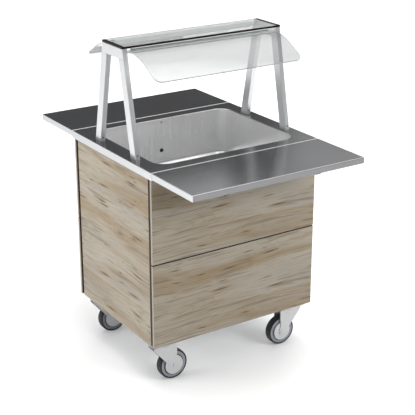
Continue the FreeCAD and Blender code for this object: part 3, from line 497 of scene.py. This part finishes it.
def add_piece(name, bm, materials, body, replaced=(), smooth_angle=35.0):
    """Make a named object of a bmesh, put it on its body and hide the nodes that it replaces."""
    bmesh.ops.recalc_face_normals(bm, faces=bm.faces[:])
    mesh = bpy.data.meshes.new(name)
    bm.to_mesh(mesh)
    bm.free()
    for material in materials:
        mesh.materials.append(material)
    mesh.shade_smooth()
    mesh.set_sharp_from_angle(angle=math.radians(smooth_angle))
    piece = bpy.data.objects.new(name, mesh)
    bpy.context.scene.collection.objects.link(piece)
    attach(piece, body)
    if replaced:
        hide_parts(*replaced)
    even = piece.modifiers.new("Even shading", "WEIGHTED_NORMAL")
    even.keep_sharp = True
    even.weight = 100
    return piece


def replace_node(name, node, bm, materials, smooth_angle=35.0):
    return add_piece(name, bm, materials, NODE_BODY[node], [node], smooth_angle)


def dress(nodes, material):
    """Give CAD nodes a finished material."""
    for node in nodes:
        mesh = NODES[node].data
        mesh.materials.clear()
        mesh.materials.append(material)


def add_box(bm, low, high):
    """A box between two corners; returns its vertices."""
    made = bmesh.ops.create_cube(bm, size=1.0)["verts"]
    bmesh.ops.scale(bm, vec=high - low, verts=made)
    bmesh.ops.translate(bm, vec=(low + high) / 2, verts=made)
    return made


def edges_of(verts):
    chosen = set(verts)
    return list({edge for vert in verts for edge in vert.link_edges if set(edge.verts) <= chosen})


def span(edge, axis):
    """How far an edge reaches along an axis."""
    return abs(edge.verts[0].co[axis] - edge.verts[1].co[axis])


def verts_in(geometry):
    return [item for item in geometry if isinstance(item, bmesh.types.BMVert)]


def bevel(bm, geometry, offset, segments, affect="EDGES"):
    return bmesh.ops.bevel(bm, geom=geometry, offset=offset, offset_type="OFFSET", segments=segments,
                           profile=0.5, affect=affect, material=-1, clamp_overlap=True)


def tangent_point(point, centre, radius, turn):
    """Where a line from a point touches a circle in the XZ plane."""
    ahead = centre - point
    angle = math.atan2(ahead.z, ahead.x) + turn * math.asin(radius / ahead.length)
    reach = math.sqrt(ahead.length ** 2 - radius ** 2)
    return point + Vector((reach * math.cos(angle), 0.0, reach * math.sin(angle)))


def thicken(bm, thickness, high):
    """Give an open shell its thickness on the inner side."""
    bmesh.ops.recalc_face_normals(bm, faces=bm.faces[:])
    bmesh.ops.solidify(bm, geom=bm.faces[:], thickness=thickness)
    if max(vert.co.x for vert in bm.verts) > high.x + NEAR:
        raise RuntimeError("the sheet was thickened outwards")


def both_sides(half, middle=()):
    """A closed outline of (radius, along) points from its half on one side of the middle plane."""
    return [(radius, -along) for radius, along in half] + list(middle) + half[::-1]


def spin_profile(bm, points, centre, steps):
    """Turn a closed outline of (radius, along Y) points about the Y direction through a centre."""
    ring = [bm.verts.new(centre + Vector((radius, along, 0.0))) for radius, along in points]
    loop = [bm.edges.new((first, second)) for first, second in zip(ring, ring[1:] + ring[:1])]
    bmesh.ops.spin(bm, geom=ring + loop, cent=centre, axis=(0.0, 1.0, 0.0), angle=2 * math.pi,
                   steps=steps, use_merge=True)
    bmesh.ops.remove_doubles(bm, verts=bm.verts[:], dist=NEAR)


# ---------------------------------------------------------------- operators
class TROLLEY_OT_wood_panels(bpy.types.Operator):
    """Build the decor boards with their edge bands and painted shade on their backs and seam edges"""
    bl_idname = "trolley.wood_panels"
    bl_label = "Wood panels"

    def execute(self, context):
        settings = context.scene.trolley_wood
        band = speckled("Edge band", settings.band, 0.5, grain=220.0, tone=0.10)
        # Near-black backing: painted shade for the gaps beside and between the boards
        shade_backing = speckled("Board backing, painted shade", (0.050, 0.034, 0.022), 0.7, grain=300.0)
        names = sorted(name for name in NODES if "_panel" in name and name != "floor_panel")
        for index, node in enumerate(names):
            low, high = box_of(node)
            thin = min(range(3), key=lambda axis: (high - low)[axis])
            turn = 0.0 if thin == 1 else math.pi / 2
            rise = -low.z if thin == 1 else DECOR_START + DECOR_STEP * index
            face = oak_board("Oak " + node.replace("_", " "), settings, turn, (0.0, 0.0, rise))
            outward = 1.0 if (low + high)[thin] > 0 else -1.0
            middle = (high if outward > 0 else low)[thin] - outward * settings.face_depth
            front_low, front_high, back_low, back_high = low.copy(), high.copy(), low.copy(), high.copy()
            (front_low if outward > 0 else front_high)[thin] = middle
            (back_high if outward > 0 else back_low)[thin] = middle
            bm = bmesh.new()
            bevel(bm, edges_of(add_box(bm, front_low, front_high)), settings.edge_radius, 2)
            bm.normal_update()
            for polygon in bm.faces:
                # Top and bottom edge faces take the near-black backing: painted shade darkening the seams
                edge = 2 if abs(polygon.normal.z) > SHADE_EDGE_SLOPE else 1
                polygon.material_index = 0 if abs(polygon.normal[thin]) > SQUARE_ON else edge
            inset = Vector([0.0 if axis == thin else SHADE_BACKING_INSET for axis in range(3)])
            # The inset back layer is all near-black backing: painted shade in the gaps at the board edges
            for vert in add_box(bm, back_low + inset, back_high - inset):
                for polygon in vert.link_faces:
                    polygon.material_index = 2
            replace_node(node + "_board", node, bm, [face, band, shade_backing], 60.0)
        return {"FINISHED"}


class TROLLEY_OT_worktop(bpy.types.Operator):
    """Model the worktop and the folding shelves and finish their brackets"""
    bl_idname = "trolley.worktop"
    bl_label = "Worktop and shelves"

    def execute(self, context):
        steel = context.scene.trolley_steel
        top = brushed_metal("Worktop steel", steel.top, COARSE_SCRATCH_X, 0.19, 0.26, tone=0.18, bump=0.006)
        fold = brushed_metal("Folded edge steel, lit copy", steel.fold, SCRATCH_X, 0.26, 0.36, tone=0.08, bump=0.02)
        edge = brushed_metal("Shelf edge steel", steel.edge, SCRATCH_X, 0.30, 0.42, tone=0.10, bump=0.03)
        roll = brushed_metal("Rolled edge steel", steel.roll, SCRATCH_X, 0.10, 0.18, tone=0.05, bump=0.01)
        for side, _ in SIDES:
            self.make_shelf(side, steel, [top, fold, roll, edge])
        self.make_top(steel, [top, fold, roll])
        tube = brushed_metal("Structural steel", steel.tube, SCRATCH_Z, 0.30, 0.45)
        dress(["top_rails", "base_frame", "floor_panel", "well_casing", "drain_pipe"], tube)
        coating = speckled("Bracket coating", (0.035, 0.035, 0.036), 0.45, grain=700.0)
        dress(["shelf_wall_plates"], coating)
        for side, _ in SIDES:
            dress([side + "_shelf_arms", side + "_upper_links", side + "_lower_links"], coating)
        return {"FINISHED"}

    def folded_box(self, low, high, radius, turned_in):
        """A box open underneath with rolled upper and upright edges and an optional rim turned in."""
        bm = bmesh.new()
        add_box(bm, low, high)
        upper = [edge for edge in bm.edges if all(vert.co.z > high.z - NEAR for vert in edge.verts)]
        upright = [edge for edge in bm.edges if span(edge, 2) > NEAR]
        foot = min(bm.faces, key=lambda face: face.calc_center_median().z)
        if turned_in:
            bmesh.ops.inset_region(bm, faces=[foot], thickness=turned_in)
        bmesh.ops.delete(bm, geom=[foot], context="FACES")
        bevel(bm, upper + upright, radius, 4)
        return bm

    def zone(self, polygon):
        """Painted light of a folded sheet's face: 0 flat, darker, 1 upright, lighter, 2 the roll, highlit."""
        rise = abs(polygon.normal.z)
        if rise > SQUARE_ON:
            return 0
        return 1 if rise < EDGE_ON else 2

    def make_shelf(self, side, steel, materials):
        """A pan of thin sheet whose edges turn in underneath."""
        low, high = box_of(side + "_shelf")
        bm = self.folded_box(low, high, steel.fold_radius, SHELF_RETURN)
        thicken(bm, SHELF_SKIN, high)
        # The outer edge face gets the darker copy of the steel as painted shade, the rest by their zone
        outer = low.y if side == "front" else high.y
        for polygon in bm.faces:
            facing = abs(polygon.normal.y) > SHADED_EDGE_FACING
            on_shaded_edge = abs(polygon.calc_center_median().y - outer) < SHADED_EDGE_REACH
            polygon.material_index = 3 if facing and on_shaded_edge else self.zone(polygon)
        replace_node(side + "_shelf_pan", side + "_shelf", bm, materials)

    def make_top(self, steel, materials):
        """The fixed worktop: folded edges and a round-cornered cut-out for the well."""
        low, high = box_of("main_top")
        bm = self.folded_box(low, high, steel.fold_radius, 0.0)
        head = max(bm.faces, key=lambda face: face.calc_area())
        outer = head.edges[:]
        bmesh.ops.delete(bm, geom=[head], context="FACES_ONLY")
        cut = bmesh.ops.create_grid(bm, x_segments=1, y_segments=1, size=1.0)["verts"]
        bmesh.ops.scale(bm, vec=(WELL_HALF[0] + WELL_RIM, WELL_HALF[1] + WELL_RIM, 1.0), verts=cut)
        bmesh.ops.translate(bm, vec=(0.0, 0.0, high.z), verts=cut)
        bevel(bm, cut, WELL_CORNER + WELL_RIM, 12, affect="VERTICES")
        sheet = max(bm.faces, key=lambda face: len(face.verts))
        inner = sheet.edges[:]
        bmesh.ops.delete(bm, geom=[sheet], context="FACES_ONLY")
        bmesh.ops.bridge_loops(bm, edges=outer + inner)
        thicken(bm, TOP_SHEET, high)
        # Flat faces take the darker copy, upright faces the painted lighter copy, rolls the painted highlight
        for polygon in bm.faces:
            polygon.material_index = self.zone(polygon)
        replace_node("worktop", "main_top", bm, materials)


class TROLLEY_OT_well(bpy.types.Operator):
    """Finish the well, its fittings and its drain"""
    bl_idname = "trolley.well"
    bl_label = "Food well"

    def execute(self, context):
        steel = context.scene.trolley_steel
        basin = brushed_metal("Drawn steel", steel.basin, COARSE_SCRATCH_Z, 0.17, 0.285, tone=0.10,
                              bump=0.02, metallic=0.93)
        dress(["well_basin"], basin)
        dress(["drain_strainer"], speckled("Strainer steel", steel.edge, 0.35, metallic=1.0))
        dress(["well_fittings"], speckled("Dark fitting", (0.05, 0.05, 0.05), 0.3, metallic=1.0))
        foam = speckled("Insulating foam", (0.78, 0.72, 0.55), 0.9, grain=900.0, bump=0.5)
        dress(["well_insulation"], foam)
        dress(["drain_valve"], speckled("Nickelled brass", (0.66, 0.60, 0.45), 0.3, metallic=1.0))
        dress(["drain_lever"], speckled("Lever coating", (0.02, 0.02, 0.022), 0.4))
        return {"FINISHED"}


class TROLLEY_OT_guard(bpy.types.Operator):
    """Model the guard's frames, glass shelf and curved panes"""
    bl_idname = "trolley.guard"
    bl_label = "Sneeze guard"

    def execute(self, context):
        steel = context.scene.trolley_steel
        clear = context.scene.trolley_clear
        tube = brushed_metal("Guard tube", steel.tube, FINE_SCRATCH_Z, 0.28, 0.40, tone=0.08, metallic=0.75)
        for name in ("left", "right"):
            self.make_frame(name, steel, tube)
        dress(["guard_spigots"], tube)
        dress(["guard_screws"], speckled("Blackened screw", (0.02, 0.02, 0.02), 0.35, metallic=1.0))
        rail = speckled("Satin rail", (0.66, 0.69, 0.67), 0.30, tone=0.05)
        dress(["front_pane_rail", "rear_pane_rail"], rail)
        pane = clear_sheet("Clear pane", clear.pane, 0.02, 1.49)
        rim = speckled("Pane rim, painted glint", clear.rim, 0.35, grain=300.0, tone=0.05)
        for side, sign in SIDES:
            self.make_pane(side, sign, [pane, rim])
        self.make_glass(clear_sheet("Shelf glass", clear.glass, 0.01, 1.52),
                        speckled("Glass edge, painted shade", clear.edge, 0.3, tone=0.05, specular=0.15))
        return {"FINISHED"}

    def make_frame(self, name, steel, material):
        """Two leaning tube legs under a cross tube with slanting ends."""
        low, high = box_of("guard_frame_" + name)
        shoulder = high.z - CROSS_TUBE
        bm = bmesh.new()
        for side in (-1, 1):
            outer = high.y if side > 0 else -low.y
            leg = add_box(bm, Vector((low.x, 0.0, low.z)), Vector((high.x, LEG_DEPTH, shoulder)))
            for vert in leg:
                vert.co.y = side * (outer - vert.co.y - GUARD_LEAN * (vert.co.z - low.z))
            bevel(bm, [edge for edge in edges_of(leg) if span(edge, 2) > NEAR], steel.tube_radius, 3)
        cross = add_box(bm, Vector((low.x, low.y, shoulder)), high)
        for vert in cross:
            lean = GUARD_LEAN * (vert.co.z - low.z)
            vert.co.y += lean if vert.co.y < 0 else -lean
        bevel(bm, edges_of(cross), steel.tube_radius, 3)
        replace_node("guard_tubes_" + name, "guard_frame_" + name, bm, [material])

    def make_pane(self, side, sign, materials):
        """Roll a sheet round the pane's arc, run it out straight, round its free corners and thicken it."""
        low, high = box_of(side + "_pane")
        half = high.x
        bm = bmesh.new()
        start = bm.verts.new((-half, sign * PANE_START[0], PANE_START[1]))
        lip = bm.verts.new((-half, sign * (PANE_START[0] - PANE_LIP), PANE_START[1]))
        bm.edges.new((start, lip))
        centre = Vector((0.0, sign * PANE_START[0], PANE_START[1] - PANE_RADIUS))
        swept = bmesh.ops.spin(bm, geom=[start], cent=centre, axis=(1.0, 0.0, 0.0),
                               angle=-sign * PANE_TURN, steps=10)["geom_last"]
        last = verts_in(swept)[0]
        edge_y = (high.y if sign > 0 else -low.y) - PANE_THICK * math.sin(PANE_TURN)
        run = edge_y - abs(last.co.y)
        tail = bm.verts.new(last.co + Vector((0.0, sign * run, -run * math.tan(PANE_TURN))))
        bm.edges.new((last, tail))
        strips = bmesh.ops.extrude_edge_only(bm, edges=bm.edges[:])["geom"]
        bmesh.ops.translate(bm, vec=(2 * half, 0.0, 0.0), verts=verts_in(strips))
        free = sorted(bm.verts, key=lambda vert: vert.co.z)[:2]
        bevel(bm, free, PANE_CORNER, 6, affect="VERTICES")
        bmesh.ops.recalc_face_normals(bm, faces=bm.faces[:])
        if sum(face.normal.z for face in bm.faces) < 0:
            bmesh.ops.reverse_faces(bm, faces=bm.faces[:])
        bmesh.ops.solidify(bm, geom=bm.faces[:], thickness=PANE_THICK)
        # Faces along the thin edge take the light rim: painted highlight
        for polygon in bm.faces:
            narrow = min(edge.calc_length() for edge in polygon.edges)
            polygon.material_index = 1 if len(polygon.verts) == 4 and narrow < 1.2 * PANE_THICK else 0
        sheet = replace_node(side + "_pane_sheet", side + "_pane", bm, materials)
        sheet.visible_shadow = False

    def make_glass(self, glass, edge):
        """The glass shelf with ground edges and strips of painted shade round its ends and front."""
        low, high = box_of("glass_shelf")
        bm = bmesh.new()
        bevel(bm, edges_of(add_box(bm, low, high)), GLASS_EDGE, 2)
        across, along = Vector((1.0, 0.0, 0.0)), Vector((0.0, 1.0, 0.0))
        for place, normal in ((low.x + END_SHADE_STRIP, across), (high.x - END_SHADE_STRIP, across),
                              (low.y + FRONT_SHADE_STRIP, along)):
            geometry = bm.verts[:] + bm.edges[:] + bm.faces[:]
            bmesh.ops.bisect_plane(bm, geom=geometry, plane_co=normal * place, plane_no=normal)
        for polygon in bm.faces:
            middle = polygon.calc_center_median()
            dark = abs(middle.x) > high.x - END_SHADE_STRIP or middle.y < low.y + FRONT_SHADE_STRIP
            polygon.material_index = 1 if dark else 0
        plate = replace_node("glass_plate", "glass_shelf", bm, [glass, edge])
        plate.visible_shadow = False


class TROLLEY_OT_casters(bpy.types.Operator):
    """Model tyres, wheels and forks and finish the rest of the running gear"""
    bl_idname = "trolley.casters"
    bl_label = "Casters"

    def execute(self, context):
        caster = context.scene.trolley_caster
        steel = context.scene.trolley_steel
        zinc = speckled("Zinc plate", steel.zinc, 0.36, grain=90.0, tone=0.06, metallic=0.25, bump=0.03)
        rubber = speckled("Tyre rubber", caster.tread, 0.55, grain=900.0)
        ring = speckled("Wheel ring", caster.ring, 0.42, grain=500.0)
        disc = speckled("Wheel disc", caster.disc, 0.40, grain=500.0, tone=0.06)
        pedal = speckled("Pedal plastic", (0.03, 0.03, 0.033), 0.45)
        # Near-black groove ring: painted shade in the recess
        groove_shade = speckled("Wheel groove, painted shade", (0.06, 0.06, 0.07), 0.6)
        centre = Vector((TRAIL, 0.0, AXLE_Z))
        for corner in CORNERS:
            across = -1.0 if "left" in corner else 1.0
            place = Matrix.Diagonal((-across, 1.0, 1.0, 1.0))
            place.translation = (across * SWIVEL[0], SWIVEL[1] * (-1.0 if "front" in corner else 1.0), 0.0)
            bm = bmesh.new()
            spin_profile(bm, both_sides(TYRE_HALF, [TYRE_CROWN]), centre, WHEEL_STEPS)
            bmesh.ops.transform(bm, matrix=place, verts=bm.verts[:])
            replace_node("tread_" + corner, "tyre_" + corner, bm, [rubber], 50.0)
            bm = bmesh.new()
            spin_profile(bm, both_sides(WHEEL_HALF), centre, WHEEL_STEPS)
            for polygon in bm.faces:
                reach = (polygon.calc_center_median() - centre) * Vector((1.0, 0.0, 1.0))
                polygon.material_index = bisect(WHEEL_ZONES, reach.length)
            bmesh.ops.transform(bm, matrix=place, verts=bm.verts[:])
            replace_node("rim_" + corner, "wheel_" + corner, bm, [disc, groove_shade, ring], 30.0)
            bm = bmesh.new()
            self.make_fork(bm, "rear" in corner)
            bmesh.ops.transform(bm, matrix=place, verts=bm.verts[:])
            replace_node("caster_fork_" + corner, "fork_" + corner, bm, [zinc])
            dress(["axle_" + corner], zinc)
        dress(["brake_pedal_rear_left", "brake_pedal_rear_right"], pedal)
        dress(["caster_plates", "caster_bolts", "shelf_hinge_pins", "bracket_screws"], zinc)
        # Corner posts and seam profiles near black: partly black paint, partly painted shade for the gaps
        dress(["corner_posts", "seam_profiles"], speckled("Black powder coat", (0.022, 0.019, 0.017), 0.55))
        return {"FINISHED"}

    def make_fork(self, bm, with_brake):
        """Two slanting legs with round ends under a folded crown, about the swivel axis."""
        axle = Vector((TRAIL, 0.0, AXLE_Z))
        shoulder = Vector((FORK_BACK, 0.0, FORK_SHOULDER))
        knee = Vector((FORK_KNEE[0], 0.0, FORK_KNEE[1]))
        chin = [FORK_CHIN, BRAKE_CHIN] if with_brake else [FORK_CHIN]
        front = chin[-1][0]
        slant = tangent_point(shoulder, axle, FORK_TIP, -1)
        inner = tangent_point(knee, axle, FORK_TIP, 1)
        turn = (slant - axle).angle(inner - axle)
        if (slant - axle).cross(inner - axle).y < 0:
            turn = 2 * math.pi - turn
        outline = [FORK_KNEE, *chin, (front, FORK_TOP), (FORK_BACK, FORK_TOP), (FORK_BACK, FORK_SHOULDER)]
        for y in FORK_LEGS:
            shift = Vector((0.0, y, 0.0))
            first = bm.verts.new(slant + shift)
            swept = bmesh.ops.spin(bm, geom=[first], cent=axle + shift, axis=(0.0, 1.0, 0.0),
                                   angle=-(2 * math.pi - turn), steps=14)["geom_last"]
            path = verts_in(swept)[:1]
            path += [bm.verts.new((x, y, z)) for x, z in outline]
            for one, two in zip(path, path[1:] + [first]):
                bm.edges.new((one, two))
            loose = [edge for edge in bm.edges if not edge.link_faces]
            face = bmesh.ops.contextual_create(bm, geom=loose)["faces"][0]
            grown = bmesh.ops.extrude_face_region(bm, geom=[face])["geom"]
            bmesh.ops.translate(bm, vec=(0.0, FORK_SHEET, 0.0), verts=verts_in(grown))
        half = -FORK_LEGS[0]
        low, high = Vector((FORK_BACK, -half, FORK_TOP - FORK_CROWN)), Vector((front, half, FORK_TOP))
        folds = [edge for edge in edges_of(add_box(bm, low, high))
                 if span(edge, 0) > NEAR and edge.verts[0].co.z > FORK_TOP - NEAR]
        bevel(bm, folds, FORK_FOLD, 4)
        race = bmesh.ops.create_cone(bm, cap_ends=True, segments=48, radius1=RACE_RADII[0],
                                     radius2=RACE_RADII[1], depth=RACE_HEIGHT)["verts"]
        bmesh.ops.translate(bm, vec=(0.0, 0.0, FORK_TOP - RACE_HEIGHT / 2), verts=race)


class TROLLEY_OT_stage(bpy.types.Operator):
    """Set up floor, studio light and camera"""
    bl_idname = "trolley.stage"
    bl_label = "Stage"

    def execute(self, context):
        scene = context.scene
        stage = scene.trolley_stage
        scene.view_settings.view_transform = "Standard"
        floor_mesh = bpy.data.meshes.new("floor")
        bm = bmesh.new()
        bmesh.ops.create_grid(bm, x_segments=1, y_segments=1, size=FLOOR_HALF)
        bm.to_mesh(floor_mesh)
        bm.free()
        floor = bpy.data.objects.new("floor", floor_mesh)
        scene.collection.objects.link(floor)
        material, g, shader = new_material("Pale floor")
        bounce = g.add("ShaderNodeLightPath").outputs["Is Diffuse Ray"]
        g.link(g.mix(bounce, FLOOR_SEEN, FLOOR_BOUNCE), shader.inputs["Base Color"])
        shader.inputs["Roughness"].default_value = 0.9
        shader.inputs["Specular IOR Level"].default_value = 0.0
        shader.inputs["Emission Color"].default_value = (1.0, 1.0, 1.0, 1.0)
        place = g.add("ShaderNodeTexCoord").outputs["Object"]
        glow = g.range(g.length(place), *FLOOR_GLOW)
        seen_glow = g.math("MULTIPLY", g.math("SUBTRACT", 1.0, bounce), glow)
        g.link(seen_glow, shader.inputs["Emission Strength"])
        floor_mesh.materials.append(material)
        self.make_world(scene)
        for name, place, size, power in LIGHTS:
            self.add_light(name, place, size, power)
        camera = bpy.data.cameras.new("camera")
        camera.lens = stage.lens
        camera.sensor_width = SENSOR_WIDTH
        holder = bpy.data.objects.new("camera", camera)
        scene.collection.objects.link(holder)
        azimuth, elevation = stage.azimuth, stage.elevation
        back = Vector((math.sin(azimuth) * math.cos(elevation), -math.cos(azimuth) * math.cos(elevation),
                       math.sin(elevation)))
        holder.location = CAMERA_PLACE
        holder.rotation_mode = "QUATERNION"
        holder.rotation_quaternion = (-back).to_track_quat("-Z", "Y")
        scene.camera = holder
        return {"FINISHED"}

    def add_light(self, name, place, size, power):
        """A soft box aimed at the trolley; only one of them is mirrored in the steel."""
        lamp = bpy.data.lights.new(name, "AREA")
        lamp.shape = "RECTANGLE"
        lamp.size, lamp.size_y = size
        lamp.energy = power
        holder = bpy.data.objects.new(name, lamp)
        bpy.context.scene.collection.objects.link(holder)
        holder.location = place
        holder.visible_glossy = name == MIRRORED_LIGHT
        holder.visible_camera = False
        holder.visible_transmission = False
        aim = Vector(LIGHT_AIM) - Vector(place)
        holder.rotation_mode = "QUATERNION"
        holder.rotation_quaternion = aim.to_track_quat("-Z", "Y")

    def make_world(self, scene):
        """Bright surroundings with a dark belt low down, which the flat steel sheets mirror."""
        world = bpy.data.worlds.new("studio")
        world.use_nodes = True
        g = Graph(world.node_tree)
        world.node_tree.nodes.clear()
        direction = g.add("ShaderNodeTexCoord").outputs["Generated"]
        height = g.add("ShaderNodeSeparateXYZ", {0: direction}).outputs[2]
        mirrored = g.mix(g.range(height, BELT_TOP, SKY_FOOT), BELT, SKY)
        mirrored = g.mix(g.range(height, SKY_FOOT, 1.0), mirrored, OVERHEAD)
        path = g.add("ShaderNodeLightPath").outputs
        straight = g.math("MAXIMUM", path["Is Camera Ray"], path["Is Transmission Ray"])
        colour = g.mix(straight, mirrored, BACKDROP)
        background = g.add("ShaderNodeBackground", {"Color": colour, "Strength": 1.0})
        output = g.add("ShaderNodeOutputWorld")
        g.link(background.outputs[0], output.inputs["Surface"])
        scene.world = world


class TROLLEY_PT_panel(bpy.types.Panel):
    bl_idname = "TROLLEY_PT_panel"
    bl_label = "Trolley"
    bl_space_type = "VIEW_3D"
    bl_region_type = "UI"
    bl_category = "Trolley"

    def draw(self, context):
        for operator in OPERATORS:
            self.layout.operator(operator.bl_idname)
        for key, group in SETTINGS.items():
            column = self.layout.column()
            for field in group.__annotations__:
                column.prop(getattr(context.scene, key), field)


OPERATORS = (TROLLEY_OT_wood_panels, TROLLEY_OT_worktop, TROLLEY_OT_well, TROLLEY_OT_guard,
             TROLLEY_OT_casters, TROLLEY_OT_stage)
CLASSES = (*SETTINGS.values(), *OPERATORS, TROLLEY_PT_panel)


def register():
    for item in CLASSES:
        bpy.utils.register_class(item)
    for key, group in SETTINGS.items():
        setattr(bpy.types.Scene, key, PointerProperty(type=group))


def unregister():
    for key in SETTINGS:
        delattr(bpy.types.Scene, key)
    for item in reversed(CLASSES):
        bpy.utils.unregister_class(item)


def main():
    register()
    bpy.ops.trolley.wood_panels()
    bpy.ops.trolley.worktop()
    bpy.ops.trolley.well()
    bpy.ops.trolley.guard()
    bpy.ops.trolley.casters()
    bpy.ops.trolley.stage()


if __name__ == "__main__":
    main()
